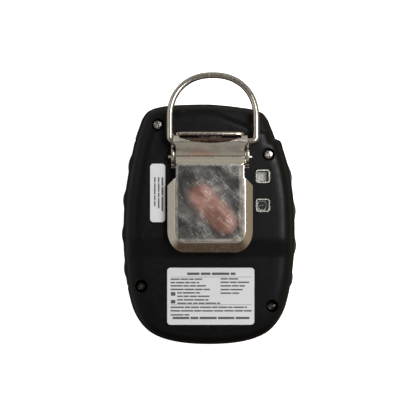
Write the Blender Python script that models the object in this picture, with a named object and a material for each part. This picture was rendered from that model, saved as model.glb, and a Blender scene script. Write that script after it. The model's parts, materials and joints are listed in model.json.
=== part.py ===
"""A portable single-gas detector with a sprung belt clip and a lanyard ring, as an assembly of pieces.

The detector lies on its display: +Z points out of its back, +Y towards the lanyard ring and +X to the right
as the back is seen. The origin is on the flat front bezel, between the display and the key. Sizes are in
millimetres here, and make_object scales them to metres.
"""

import math

import bmesh
import bpy
from mathutils import Matrix, Vector

MM = 0.001
GAP = 0.3  # the space between pieces that touch

# Case: the half outline, seen from behind, from the top round to the bottom. Both halves are alike,
# but for the corner beyond the diagonal step, which is set back.
HALF_OUTLINE = [
    (0.0, 42.7), (10.0, 42.5), (16.6, 41.9), (21.1, 40.5), (23.4, 38.0), (24.7, 34.8), (26.4, 29.6),
    (28.3, 20.4), (29.8, 11.0), (30.4, 2.0), (30.4, -8.0), (29.7, -16.0), (29.0, -22.0), (26.7, -30.6),
    (22.7, -36.7), (17.4, -40.1), (9.8, -42.0), (0.0, -42.6),
]
CASE_HALF_WIDTH = 30.4
CASE_HALF_LENGTH = 42.6
BACK_Z = 27.0  # the flat upper part of the back
FLOOR_Z = 2.2  # the inner face of the front
ROOF_Z = 25.0  # the inner face of the back's upper part
PARTING_Z = 13.0
WAVE_TOP_Y = -4.8  # the back steps down between these two lines
WAVE_FOOT_Y = -12.4
WAVE_DROP = 1.5
TAIL_DROP = 0.9  # and slopes gently from there to the bottom end
WALL_INSET = 2.6
STEP_LINE = ((-7.5, 41.5), (23.3, 29.3))  # the back is lower beyond this diagonal
STEP_DROP = 1.2
STEP_SET_BACK, STEP_SET_BACK_FROM_X = 2.5, 14.0
STEP_LOWERED, STEP_LOWERED_OVER = 0.7, 6.0  # and its top edge is lower
GRIP_SET_BACK, GRIP_SET_BACK_FROM_Y = 1.1, 20.0  # the right grip closes in towards the step

# Side grips, let into both covers
GRIP_RECESS = 1.5
GRIP_BOTTOM_Z, GRIP_TOP_Z = 5.7, 20.1
GRIP_LOW_Y, GRIP_HIGH_Y = -22.6, 30.2
GRIP_RIB_PITCH, GRIP_RIB_HEIGHT = 12.6, 0.55
GRIP_RIB_FADE = 5.0  # the ribs sink into the grip within this distance of its ends
GRIP_LEFT_RIB_Y, GRIP_RIGHT_RIB_Y = 9.0, 4.9  # one rib's middle on each side

# Case screws: place, and how far the head's top is below the back
CASE_SCREWS = [((-18.3, 34.7), 1.4), ((20.7, 24.3), 1.4), ((-24.0, -22.0), 9.0), ((22.1, -29.0), 9.0)]
POST_R = 2.7
COUNTERBORE_R = 2.2
SCREW_HEAD_R, SCREW_HEAD_H = 1.75, 1.3
SCREW_SHANK_R = 1.0
SHANK_HOLE_R = 1.3
SCREW_TIP_Z = 8.0
INSERT_R, INSERT_LOW_Z, INSERT_HIGH_Z = 1.9, 6.8, 12.1

# Front face
WINDOW_AT, WINDOW_SIZE = (0.0, 13.5), (34.0, 20.0)
ALARM_AT, ALARM_SIZE = (0.0, 31.5), (24.0, 5.0)
KEY_AT, KEY_SIZE = (0.0, -9.6), (14.0, 7.0)
KEY_FACE_Z = 0.4
BUZZER_AT = (-13.0, -8.8)
SENSOR_AT = (0.0, -26.0)
SENSOR_CAP_R = 10.0
SENSOR_PORT_R = 7.5

# Infrared data port in the back
PORT_X = 18.65
PORT_UPPER_Y, PORT_LOWER_Y = 16.6, 6.4
PORT_SIZE = (5.35, 5.0)

# Battery
CELL_R, CELL_LENGTH = 7.25, 33.5
CELL_CENTRE = (-5.0, 8.0, 15.6)

# Labels
REAR_LABEL_AT, REAR_LABEL_SIZE = (0.35, -25.5), (30.6, 20.0)
SIDE_LABEL_AT, SIDE_LABEL_SIZE = (-18.3, 10.7), (5.3, 20.5)
LABEL_THICK, LABEL_CORNER = 0.25, 1.2

# Belt clip: base plate, pin, sprung lever
CLIP_SHEET = 0.8
BASE_Z = BACK_Z + GAP
BASE_HALF_WIDTH, BASE_LOW_Y, BASE_HIGH_Y = 12.0, -7.4, 26.9
NECK_HALF_WIDTH = 3.9
LIP_LOW_Y, LIP_HIGH_Y, LIP_HALF_WIDTH, LIP_TOP_Z = 30.65, 32.05, 11.9, 29.3
EAR_INNER_X, EAR_OUTER_X = 12.65, 13.6
CLIP_SCREW_YS = (14.0, 3.0)
PIN_Y, PIN_Z, PIN_R, PIN_HALF_LENGTH = 23.25, 29.7, 0.5, 14.7
PIN_HOLE_R = PIN_R + GAP
LEVER_TOP_Z = 33.6
LEVER_JAW_Z = 30.6
LEVER_JAW_Y, LEVER_FLAT_LOW_Y, LEVER_FLAT_HIGH_Y = -10.1, -6.0, 19.65
LEVER_FLAT_HALF, LEVER_SKIRT_HALF, LEVER_TAB_HALF = 12.2, 14.9, 12.05
LEVER_SHOULDER_Y = (13.2, 15.7)
LEVER_SHOULDER_HALF = 12.8
CREASE_Y, CREASE_Z = 23.1, 32.1
COIL_R, COIL_WIRE_R, COIL_TURNS, COIL_PITCH = 1.05, 0.25, 6, 0.8

# Lanyard ring: its bar turns in the lever's two curls
BAR_Y, BAR_Z = 28.65, 32.0
WIRE_R = 1.1
CURL_R = WIRE_R + 0.22 + CLIP_SHEET
CURL_INNER_X, CURL_OUTER_X = 10.85, 12.95
CURL_START_TURN, CURL_END_TURN = math.radians(115), math.radians(-146)  # from the tab round the bar
SCALLOP_MIDDLE_Y, SCALLOP_DEPTH = 27.9, 1.9  # the tab's edge between its curls is a shallow arc
RING_SHIFT_X = 1.0  # the ring hangs a little to one side of its curls
RING_HALF = 15.1
RING_CORNER_R = 1.6
RING_LEG_END = 8.2
RING_TOP = 23.45
RING_ROUNDNESS = 2.2
RING_REST_TILT = math.radians(7.0)  # below level


# ---- meshes ----

def clear_scene():
    for item in list(bpy.data.objects):
        bpy.data.objects.remove(item, do_unlink=True)


def material(name, colour, roughness, metallic=0.0):
    found = bpy.data.materials.get(name)
    if found:
        return found
    made = bpy.data.materials.new(name)
    made.use_nodes = True
    shader = made.node_tree.nodes["Principled BSDF"]
    shader.inputs["Base Color"].default_value = (*colour, 1.0)
    shader.inputs["Roughness"].default_value = roughness
    shader.inputs["Metallic"].default_value = metallic
    return made


def make_object(name, shape, finish, closed=True):
    """An object from (vertices, faces) in millimetres, its faces turned outwards."""
    vertices, faces = shape
    mesh = bpy.data.meshes.new(name)
    mesh.from_pydata([Vector(v) * MM for v in vertices], [], faces)
    shell = bmesh.new()
    shell.from_mesh(mesh)
    bmesh.ops.recalc_face_normals(shell, faces=shell.faces)
    if closed and shell.calc_volume(signed=True) < 0:
        bmesh.ops.reverse_faces(shell, faces=shell.faces)
    shell.to_mesh(mesh)
    shell.free()
    mesh.shade_smooth()
    mesh.set_sharp_from_angle(angle=math.radians(35))
    mesh.materials.append(finish)
    made = bpy.data.objects.new(name, mesh)
    bpy.context.collection.objects.link(made)
    return made


def joined(shapes):
    """Several separate shapes as one list of vertices and faces."""
    vertices, faces = [], []
    for more_vertices, more_faces in shapes:
        start = len(vertices)
        vertices += more_vertices
        faces += [[start + i for i in face] for face in more_faces]
    return vertices, faces


def boolean(target, operation, *shapes):
    """Adds to or cuts from the target with the given separate shapes, which don't overlap each other."""
    tool = make_object(f"{target.name}_{operation.lower()}", joined(shapes), target.data.materials[0])
    tool.hide_render = True
    tool.display_type = "WIRE"
    step = target.modifiers.new(operation.title(), "BOOLEAN")
    step.operation = operation
    step.solver = "EXACT"
    step.object = tool


def loft(rings, ladder=False):
    """A closed solid through rings of equally many points. A ladder end joins the ring's mirrored halves."""
    count = len(rings[0])
    vertices = [point for ring in rings for point in ring]
    faces = []
    for level in range(len(rings) - 1):
        low, high = level * count, (level + 1) * count
        for i in range(count):
            j = (i + 1) % count
            faces.append([low + i, low + j, high + j, high + i])
    for start in (0, (len(rings) - 1) * count):
        if not ladder:
            faces.append([start + i for i in range(count)])
            continue
        faces.append([start, start + 1, start + count - 1])
        for i in range(1, count // 2 - 1):
            faces.append([start + i, start + i + 1, start + count - i - 1, start + count - i])
        half = start + count // 2
        faces.append([half - 1, half, half + 1])
    return vertices, faces


def circle(at, z, radius, sides=16):
    turns = [2 * math.pi * (i + 0.5) / sides for i in range(sides)]
    return [(at[0] + radius * math.cos(t), at[1] + radius * math.sin(t), z) for t in turns]


def turned(at, profile, sides=16):
    """A solid turned about a line along Z, from (radius, z) pairs."""
    return loft([circle(at, z, radius, sides) for radius, z in profile])


def along_x(shape, y, z):
    """Turns a shape made about Z so that it runs along X at the given place."""
    turn = Matrix.Translation((0, y, z)) @ Matrix.Rotation(math.radians(90), 4, "Y")
    vertices, faces = shape
    return [tuple(turn @ Vector(v)) for v in vertices], faces


def tube_ring(at, inner, outer, low, high, sides=24):
    """A flat washer: outer wall and inner wall joined round."""
    profile = [(inner, low), (outer, low), (outer, high), (inner, high)]
    rings = [circle(at, z, radius, sides) for radius, z in profile]
    return closed_band(rings)


def closed_band(rings):
    """Rings joined in turn, the last one to the first, with no ends."""
    count = len(rings[0])
    vertices = [point for ring in rings for point in ring]
    faces = []
    for level in range(len(rings)):
        low, high = level * count, (level + 1) % len(rings) * count
        for i in range(count):
            j = (i + 1) % count
            faces.append([low + i, low + j, high + j, high + i])
    return vertices, faces


def rounded_rectangle(at, size, corner, z, per_corner=3):
    half_x, half_y = size[0] / 2 - corner, size[1] / 2 - corner
    points = []
    for quarter, (sign_x, sign_y) in enumerate([(1, 1), (-1, 1), (-1, -1), (1, -1)]):
        for step in range(per_corner + 1):
            turn = math.radians(90) * (quarter + step / per_corner)
            x = at[0] + sign_x * half_x + corner * math.cos(turn)
            points.append((x, at[1] + sign_y * half_y + corner * math.sin(turn), z))
    return points


def slab(at, size, corner, *steps, per_corner=3):
    """A rounded block in steps of (z, how much larger than its size on every side)."""
    rings = []
    for z, grown in steps:
        grown_size = (size[0] + 2 * grown, size[1] + 2 * grown)
        rings.append(rounded_rectangle(at, grown_size, corner, z, per_corner))
    return loft(rings)


def box(low, high):
    (x0, y0, z0), (x1, y1, z1) = low, high
    foot = [(x0, y0, z0), (x1, y0, z0), (x1, y1, z0), (x0, y1, z0)]
    return loft([foot, [(x, y, z1) for x, y, _ in foot]])


def prism(outline, low, high):
    return loft([[(x, y, low) for x, y in outline], [(x, y, high) for x, y in outline]])


def prism_x(outline, low, high):
    """A prism along X from an outline in Y and Z."""
    return loft([[(low, y, z) for y, z in outline], [(high, y, z) for y, z in outline]])


# ---- the case's shape ----

def smooth_outline(per_span=2):
    """The whole outline as a smooth loop, from the top round by the right: (point, outward direction)."""
    right = [Vector(p) for p in HALF_OUTLINE]
    left = [Vector((-p.x, p.y)) for p in right[1:-1]]
    loop = right + left[::-1]
    count = len(loop)
    samples = []
    for i in range(count):
        before, here, there, after = (loop[(i + k) % count] for k in (-1, 0, 1, 2))
        for step in range(per_span):
            t = step / per_span
            point = 0.5 * (2 * here + (there - before) * t
                           + (2 * before - 5 * here + 4 * there - after) * t * t
                           + (3 * here - before - 3 * there + after) * t ** 3)
            samples.append(point)
    count = len(samples)
    loop = []
    for i, point in enumerate(samples):
        along = samples[(i + 1) % count] - samples[i - 1]
        loop.append((point, Vector((-along.y, along.x)).normalized()))
    return loop


OUTLINE = smooth_outline()
DEEPEST_OFFSET = 3.0  # a larger inset shrinks the outline towards its centre, so that corners don't cross


def inset_point(point, outward, inset):
    near = min(inset, DEEPEST_OFFSET)
    moved = point - outward * near
    rest = inset - near
    narrower = 1 - rest / (CASE_HALF_WIDTH - near)
    shorter = 1 - rest / (CASE_HALF_LENGTH - near)
    return Vector((moved.x * narrower, moved.y * shorter))


def back_height(y):
    """The back's height along the case: flat, then a soft step down, then a slope."""
    if y >= WAVE_TOP_Y:
        return BACK_Z
    share = min(1.0, (WAVE_TOP_Y - y) / (WAVE_TOP_Y - WAVE_FOOT_Y))
    drop = WAVE_DROP * (1 - math.cos(math.pi * share)) / 2
    beyond = max(0.0, (WAVE_FOOT_Y - y) / (WAVE_FOOT_Y + CASE_HALF_LENGTH))
    return BACK_Z - drop - TAIL_DROP * beyond


def set_back(point):
    """How far the corner beyond the diagonal step stands back, and the grip below it."""
    beside = max(0.0, min(1.0, point.x / STEP_SET_BACK_FROM_X))
    if point.y > GRIP_HIGH_Y:
        above = min(1.0, (point.y - GRIP_HIGH_Y) / STEP_LOWERED_OVER)
        return Vector((STEP_SET_BACK * beside, STEP_LOWERED * beside * above))
    towards = max(0.0, (point.y - GRIP_SET_BACK_FROM_Y) / (GRIP_HIGH_Y - GRIP_SET_BACK_FROM_Y))
    return Vector((GRIP_SET_BACK * beside * towards, 0.0))


def case_ring(inset, z, recessed=False, follows_back=False):
    """The outline inset and at a height. A recessed ring steps in along the grips."""
    ring = []
    for point, outward in OUTLINE:
        deeper = inset
        if recessed and GRIP_LOW_Y < point.y < GRIP_HIGH_Y:
            deeper = max(inset, GRIP_RECESS)
        place = inset_point(point, outward, deeper)
        place -= set_back(point)
        height = z
        if follows_back:
            share = (z - GRIP_TOP_Z) / (BACK_Z - GRIP_TOP_Z)
            height = z - share * (BACK_Z - back_height(place.y))
        ring.append((place.x, place.y, height))
    return ring


def front_shell():
    inner = [(5.5, FLOOR_Z), (4.2, 3.0), (2.8, 5.5), (WALL_INSET, PARTING_Z - 0.6)]
    rim = [(1.75, PARTING_Z - 0.6), (1.65, PARTING_Z)]
    outer = [(0.0, PARTING_Z), (0.3, GRIP_BOTTOM_Z)]
    foot = [(0.4, GRIP_BOTTOM_Z - 0.3), (1.2, 2.4), (2.2, 0.7), (3.6, 0.0)]
    rings = [case_ring(inset, z) for inset, z in inner + rim]
    rings += [case_ring(inset, z, recessed=True) for inset, z in outer]
    rings += [case_ring(inset, z) for inset, z in foot]
    return loft(rings, ladder=True)


def back_shell():
    seam = PARTING_Z + GAP
    inner = [(6.2, ROOF_Z), (4.8, 23.4), (3.0, GRIP_TOP_Z), (WALL_INSET, seam + 0.6)]
    rim = [(1.75, seam + 0.6), (1.65, seam)]
    outer = [(0.0, seam), (0.5, GRIP_TOP_Z)]
    crown = [(0.55, GRIP_TOP_Z + 0.3), (1.1, 23.4), (2.4, 25.6), (4.0, BACK_Z)]
    rings = [case_ring(inset, z, follows_back=z > GRIP_TOP_Z) for inset, z in inner + rim]
    rings += [case_ring(inset, z, recessed=True) for inset, z in outer]
    rings += [case_ring(inset, z, follows_back=True) for inset, z in crown]
    return loft(rings, ladder=True)


# ---- the case's pieces ----

def make_front_cover():
    cover = make_object("front_cover", front_shell(), material("case_black", (0.016, 0.016, 0.018), 0.5))
    post_top = PARTING_Z - 0.6
    boolean(cover, "UNION", *[turned(at, [(POST_R, 1.8), (POST_R, post_top)]) for at, _ in CASE_SCREWS])
    bore = [(INSERT_R + GAP, INSERT_LOW_Z - 0.4), (INSERT_R + GAP, post_top + 1)]
    bores = [turned(at, bore) for at, _ in CASE_SCREWS]
    window = slab(WINDOW_AT, WINDOW_SIZE, 1.5, (-1.0, GAP), (1.4, GAP), (1.4, -1.5), (3.0, -1.5))
    alarm = slab(ALARM_AT, ALARM_SIZE, 1.0, (-1.0, GAP), (3.0, GAP))
    key = slab(KEY_AT, KEY_SIZE, 3.0, (-1.0, GAP), (3.0, GAP))
    seat = SENSOR_CAP_R + GAP
    port = turned(SENSOR_AT, [(seat, -1.0), (seat, 1.8), (SENSOR_PORT_R, 1.8), (SENSOR_PORT_R, 3.0)], 24)
    x, y = BUZZER_AT
    slots = [box((x - 2.5, y + dy - 0.5, -1.0), (x + 2.5, y + dy + 0.5, 3.0)) for dy in (-2.2, 0.0, 2.2)]
    boolean(cover, "DIFFERENCE", *bores, window, alarm, key, port, *slots)


def make_back_cover():
    cover = make_object("rear_cover", back_shell(), material("case_black", (0.016, 0.016, 0.018), 0.5))
    seam = PARTING_Z + GAP + 0.6
    posts = [turned(at, [(POST_R, seam), (POST_R, back_height(at[1]) - 1.2)]) for at, _ in CASE_SCREWS]
    posts += [turned((0, y), [(2.8, 23.2), (2.8, 26.0)]) for y in CLIP_SCREW_YS]
    boolean(cover, "UNION", *posts)
    cuts = []
    for at, sunk in CASE_SCREWS:
        seat = back_height(at[1]) - sunk - SCREW_HEAD_H - GAP
        well = [(SHANK_HOLE_R, seam - 1), (SHANK_HOLE_R, seat), (COUNTERBORE_R, seat), (COUNTERBORE_R, 29.0)]
        cuts.append(turned(at, well))
    cuts += [turned((0, y), [(SHANK_HOLE_R, 22.0), (SHANK_HOLE_R, 29.0)]) for y in CLIP_SCREW_YS]
    for y in (PORT_UPPER_Y, PORT_LOWER_Y):
        recess = slab((PORT_X, y), PORT_SIZE, 1.0, (24.0, -0.55), (25.6, -0.55), (25.6, 0.0), (29.0, 0.0))
        cuts.append(recess)
    start, end = (Vector(p) for p in STEP_LINE)
    along = (end - start).normalized()
    away = Vector((-along.y, along.x))
    near_end, far_end = start - along * 20, end + along * 20
    corners = [near_end, far_end, far_end + away * 30, near_end + away * 30]
    cuts.append(prism([(p.x, p.y) for p in corners], BACK_Z - STEP_DROP, BACK_Z + 3))
    boolean(cover, "DIFFERENCE", *cuts)


def make_seal():
    low, high = PARTING_Z - 0.3, PARTING_Z + 0.6
    band = [case_ring(2.05, low), case_ring(2.05, high), case_ring(2.5, high), case_ring(2.5, low)]
    make_object("case_seal", closed_band(band), material("seal_rubber", (0.02, 0.02, 0.02), 0.8))


def rib_height(y, rib_y):
    """Soft ribs across the grip, with a flat between each two."""
    height = GRIP_RIB_HEIGHT * max(0.0, math.cos(2 * math.pi * (y - rib_y) / GRIP_RIB_PITCH))
    return height * min(1.0, (y - GRIP_LOW_Y) / GRIP_RIB_FADE, (GRIP_HIGH_Y - y) / GRIP_RIB_FADE)


def make_grip(name, side, rib_y):
    low, high = GRIP_BOTTOM_Z + GAP, GRIP_TOP_Z - GAP
    rings = []
    for i, (point, outward) in enumerate(OUTLINE):
        if side * point.x <= 0 or not GRIP_LOW_Y + 0.5 < point.y < GRIP_HIGH_Y - 0.5:
            continue
        for share in (0.0, 0.5):
            after, after_outward = OUTLINE[(i + 1) % len(OUTLINE)]
            if share and not GRIP_LOW_Y + 0.5 < after.y < GRIP_HIGH_Y - 0.5:
                continue
            place = point.lerp(after, share)
            facing = outward.lerp(after_outward, share).normalized()
            inner = GRIP_RECESS - GAP
            outer = 0.1 - rib_height(place.y, rib_y)
            section = [(inner, low), (0.5, low), (outer, low + 1.6)]
            section += [(outer, high - 1.6), (0.6, high), (inner, high)]
            ring = []
            for inset, z in section:
                there = place - facing * inset - set_back(place)
                ring.append((there.x, there.y, z))
            rings.append(ring)
    make_object(name, loft(rings), material("grip_rubber", (0.018, 0.018, 0.019), 0.65))


def make_case_screws():
    steel = material("screw_steel", (0.62, 0.6, 0.57), 0.35, 1.0)
    brass = material("brass", (0.72, 0.52, 0.24), 0.35, 1.0)
    for number, (at, sunk) in enumerate(CASE_SCREWS, 1):
        top = back_height(at[1]) - sunk
        under = top - SCREW_HEAD_H
        profile = [(0.6, SCREW_TIP_Z), (SCREW_SHANK_R, SCREW_TIP_Z + 0.5), (SCREW_SHANK_R, under),
                   (SCREW_HEAD_R, under), (SCREW_HEAD_R, top - 0.5), (1.2, top)]
        screw = make_object(f"case_screw_{number}", turned(at, profile, 12), steel)
        arms = [box((at[0] - 0.9, at[1] - 0.18, top - 0.6), (at[0] + 0.9, at[1] + 0.18, top + 1))]
        boolean(screw, "DIFFERENCE", *arms)
        wall = tube_ring(at, SHANK_HOLE_R, INSERT_R, INSERT_LOW_Z, INSERT_HIGH_Z, 12)
        make_object(f"threaded_insert_{number}", wall, brass)


# ---- front pieces ----

def make_front_pieces():
    clear = material("display_glass", (0.03, 0.035, 0.03), 0.08)
    make_object("display_window", slab(WINDOW_AT, WINDOW_SIZE, 1.5, (GAP, 0.0), (1.1, 0.0)), clear)
    module = slab((0.0, 13.0), (35.0, 24.0), 0.6, (2.6, 0.0), (5.2, 0.0), per_corner=1)
    make_object("display_module", module, material("lcd_grey", (0.32, 0.36, 0.3), 0.3))
    red = material("alarm_red", (0.55, 0.02, 0.02), 0.2)
    lens = slab(ALARM_AT, ALARM_SIZE, 1.0, (GAP, 0.0), (2.5, 0.0), (2.5, 1.0), (3.2, 1.0))
    make_object("alarm_lens", lens, red)
    led = material("led_epoxy", (0.75, 0.72, 0.66), 0.3)
    for name, x in (("alarm_led_left", -7.0), ("alarm_led_right", 7.0)):
        place = (x, ALARM_AT[1])
        body = slab(place, (3.2, 2.8), 0.3, (3.6, -0.3), (4.4, 0.0), (5.7, 0.0), per_corner=1)
        make_object(name, body, led)
    key_steps = [(KEY_FACE_Z, -0.4), (KEY_FACE_Z + 0.4, 0.0), (2.5, 0.0), (2.5, 0.9), (3.1, 0.9)]
    key = slab(KEY_AT, KEY_SIZE, 3.0, *key_steps)
    make_object("mode_key", key, material("key_rubber", (0.3, 0.31, 0.32), 0.55))
    switch = slab(KEY_AT, (6.0, 6.0), 0.4, (4.0, -1.7), (4.4, -1.7), (4.4, 0.0), (5.7, 0.0), per_corner=1)
    make_object("key_switch", switch, material("component_black", (0.02, 0.02, 0.022), 0.4))
    buzzer = turned(BUZZER_AT, [(4.2, 2.6), (4.2, 5.7)], 16)
    make_object("buzzer", buzzer, material("component_black", (0.02, 0.02, 0.022), 0.4))
    motor = turned((13.0, -8.8), [(4.0, 7.5), (4.0, 10.2)], 16)
    make_object("vibration_motor", motor, material("screw_steel", (0.62, 0.6, 0.57), 0.35, 1.0))


def make_boards():
    green = material("board_green", (0.02, 0.16, 0.07), 0.45)
    outline = [(-17.5, -13.0), (-16.0, -14.5), (16.0, -14.5), (17.5, -13.0), (17.5, 27.0), (16.0, 28.5),
               (12.5, 28.5), (12.5, 34.0), (-12.5, 34.0), (-12.5, 28.5), (-16.0, 28.5), (-17.5, 27.0)]
    make_object("main_board", prism(outline, 6.0, 7.2), green)
    make_object("sensor_board", slab((0.0, -26.0), (24.0, 20.0), 2.0, (18.3, 0.0), (19.5, 0.0)), green)
    port_centre = (PORT_X, (PORT_UPPER_Y + PORT_LOWER_Y) / 2)
    port_board = slab(port_centre, (8.6, 18.0), 0.8, (20.6, 0.0), (21.8, 0.0), per_corner=1)
    make_object("port_board", port_board, green)


def make_sensor():
    disc = turned(SENSOR_AT, [(9.4, GAP), (SENSOR_CAP_R, 0.9), (SENSOR_CAP_R, 1.5)], 24)
    cap = make_object("sensor_cap", disc, material("cap_grey", (0.12, 0.12, 0.13), 0.45))
    holes = [turned(SENSOR_AT, [(1.3, -1), (1.3, 3)], 8)]
    for i in range(6):
        turn = math.radians(60 * i)
        at = (SENSOR_AT[0] + 4.4 * math.cos(turn), SENSOR_AT[1] + 4.4 * math.sin(turn))
        holes.append(turned(at, [(1.3, -1), (1.3, 3)], 8))
    boolean(cap, "DIFFERENCE", *holes)
    membrane = turned(SENSOR_AT, [(7.0, 1.8), (7.0, 2.3)], 20)
    make_object("dust_filter", membrane, material("filter_white", (0.8, 0.8, 0.78), 0.9))
    gasket = tube_ring(SENSOR_AT, 7.6, 9.4, 2.6, 3.5)
    make_object("sensor_seal", gasket, material("seal_rubber", (0.02, 0.02, 0.02), 0.8))
    body = turned(SENSOR_AT, [(9.2, 3.8), (9.8, 4.4), (9.8, 17.0), (9.2, 17.6)], 24)
    make_object("gas_sensor", body, material("sensor_white", (0.7, 0.71, 0.72), 0.5))


def make_battery():
    x, y, z = CELL_CENTRE
    half = CELL_LENGTH / 2
    left, right = x - half, x + half
    can = [(CELL_R - 0.5, left), (CELL_R, left + 0.5), (CELL_R, right - 2.0), (CELL_R - 0.6, right - 1.5)]
    button = [(2.6, right - 1.5), (2.4, right)]
    cell = turned((0, 0), can + button, 20)
    make_object("battery_cell", along_x(cell, y, z), material("cell_sleeve", (0.1, 0.25, 0.45), 0.35))
    spring_steel = material("contact_nickel", (0.7, 0.68, 0.62), 0.3, 1.0)
    for name, face, foot, sheet in (("battery_contact_negative", left - GAP, 6.0, -0.4),
                                    ("battery_contact_positive", right + GAP, -5.0, 0.4)):
        angle = [(face + sheet, 7.5), (face + foot, 7.5), (face + foot, 7.9)]
        angle += [(face, 7.9), (face, 20.0), (face + sheet, 20.0)]
        make_object(name, prism_y(angle, y - 4, y + 4), spring_steel)


def prism_y(outline, low, high):
    """A prism along Y from an outline in X and Z."""
    return loft([[(x, low, z) for x, z in outline], [(x, high, z) for x, z in outline]])


def make_port():
    clear = material("port_glass", (0.75, 0.8, 0.78), 0.08)
    for name, y in (("upper_port_window", PORT_UPPER_Y), ("lower_port_window", PORT_LOWER_Y)):
        make_object(name, slab((PORT_X, y), PORT_SIZE, 0.9, (25.9, -GAP), (26.4, -GAP)), clear)
    white = material("emitter_white", (0.85, 0.85, 0.83), 0.3)
    black = material("receiver_black", (0.012, 0.012, 0.014), 0.12)
    emitter = slab((PORT_X, PORT_UPPER_Y), (3.0, 3.0), 0.3, (22.1, 0.0), (24.0, -0.1), per_corner=1)
    make_object("ir_emitter", emitter, white)
    dome = [(1.9, 22.1), (1.9, 22.7), (1.6, 22.7), (1.6, 23.4), (1.3, 24.0), (0.6, 24.4)]
    make_object("ir_receiver", turned((PORT_X, PORT_LOWER_Y), dome, 14), black)


def make_labels():
    paper = material("label_white", (0.72, 0.73, 0.76), 0.45)
    outline = rounded_rectangle(REAR_LABEL_AT, REAR_LABEL_SIZE, LABEL_CORNER, 0.0)
    rings = [[(x, y, back_height(y) + lift) for x, y, _ in outline] for lift in (GAP, GAP + LABEL_THICK)]
    make_object("rear_label", loft(rings), paper)
    low = BACK_Z + GAP
    side = slab(SIDE_LABEL_AT, SIDE_LABEL_SIZE, LABEL_CORNER, (low, 0.0), (low + LABEL_THICK, 0.0))
    make_object("side_label", side, paper)


# ---- belt clip ----

def make_clip_base():
    steel = material("clip_nickel", (0.62, 0.58, 0.52), 0.25, 1.0)
    low, high = BASE_Z, BASE_Z + CLIP_SHEET
    wide, ears_from = BASE_HALF_WIDTH, 19.4
    right = [(wide - 2, BASE_LOW_Y), (wide, BASE_LOW_Y + 2), (wide, ears_from), (EAR_OUTER_X, ears_from),
             (EAR_OUTER_X, BASE_HIGH_Y), (NECK_HALF_WIDTH, BASE_HIGH_Y), (NECK_HALF_WIDTH, LIP_LOW_Y + 0.6)]
    outline = right + [(-x, y) for x, y in reversed(right)]
    base = make_object("clip_base", prism(outline, low, high), steel)
    lip_rings = []
    right_tops = [(9.6, LIP_TOP_Z), (10.4, 28.6), (LIP_HALF_WIDTH, 28.3)]
    for x, top in [(-x, top) for x, top in reversed(right_tops)] + right_tops:
        section = [(LIP_LOW_Y, low), (LIP_HIGH_Y, low), (LIP_HIGH_Y, top), (LIP_LOW_Y, top)]
        lip_rings.append([(x, y, z) for y, z in section])
    ear = [(ears_from, low), (27.5, low), (27.5, 29.2), (25.4, 31.3), (22.4, 31.3), (20.2, 29.2)]
    ears = [prism_x(ear, EAR_INNER_X, EAR_OUTER_X), prism_x(ear, -EAR_OUTER_X, -EAR_INNER_X)]
    boolean(base, "UNION", loft(lip_rings), *ears)
    holes = [turned((0, y), [(SHANK_HOLE_R, low - 1), (SHANK_HOLE_R, high + 1)], 12) for y in CLIP_SCREW_YS]
    pin_hole = turned((0, 0), [(PIN_HOLE_R, -16), (PIN_HOLE_R, 16)], 10)
    boolean(base, "DIFFERENCE", *holes, along_x(pin_hole, PIN_Y, PIN_Z))


def make_clip_fixings():
    steel = material("screw_steel", (0.62, 0.6, 0.57), 0.35, 1.0)
    top = BASE_Z + CLIP_SHEET + GAP
    for number, y in enumerate(CLIP_SCREW_YS, 1):
        shank = [(0.8, 23.6), (SCREW_SHANK_R, 24.0), (SCREW_SHANK_R, top)]
        head = [(2.1, top), (2.1, top + 0.5), (1.5, top + 0.9)]
        make_object(f"clip_screw_{number}", turned((0, y), shank + head, 12), steel)
    half = PIN_HALF_LENGTH
    chamfered = [(PIN_R - 0.15, -half), (PIN_R, 0.2 - half), (PIN_R, half - 0.2), (PIN_R - 0.15, half)]
    make_object("clip_pin", along_x(turned((0, 0), chamfered, 10), PIN_Y, PIN_Z), steel)


def swept(points, radius, sides, closed=False):
    """A round wire along the points."""
    count = len(points)
    rings = []
    normal = None
    for i, point in enumerate(points):
        before = points[i - 1] if closed or i else point
        after = points[(i + 1) % count] if closed or i < count - 1 else point
        along = (after - before).normalized()
        if normal is None:
            normal = along.orthogonal().normalized()
        normal = (normal - along * normal.dot(along)).normalized()
        across = along.cross(normal)
        turns = [2 * math.pi * k / sides for k in range(sides)]
        rings.append([tuple(point + (normal * math.cos(t) + across * math.sin(t)) * radius) for t in turns])
    return closed_band(rings) if closed else loft(rings)


def make_clip_spring():
    """A torsion spring round the pin: one leg on the base plate, the other under the thumb tab."""
    per_turn = 10
    length = COIL_TURNS * COIL_PITCH
    start_turn, end_turn = math.radians(-90), math.radians(90) + 2 * math.pi * (COIL_TURNS - 1)
    steps = int((end_turn - start_turn) / (2 * math.pi) * per_turn)
    points = [Vector((-length / 2, PIN_Y + along, PIN_Z - COIL_R)) for along in (2.6, 1.0)]
    for i in range(steps + 1):
        turn = start_turn - (end_turn - start_turn) * i / steps
        x = -length / 2 + length * i / steps
        points.append(Vector((x, PIN_Y + COIL_R * math.cos(turn), PIN_Z + COIL_R * math.sin(turn))))
    last = points[-1]
    points.append(last + Vector((0, 1.0, 0.1)))
    points.append(last + Vector((0, 2.8, 0.5)))
    steel = material("screw_steel", (0.62, 0.6, 0.57), 0.35, 1.0)
    make_object("clip_spring", swept(points, COIL_WIRE_R, 6), steel)


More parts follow.
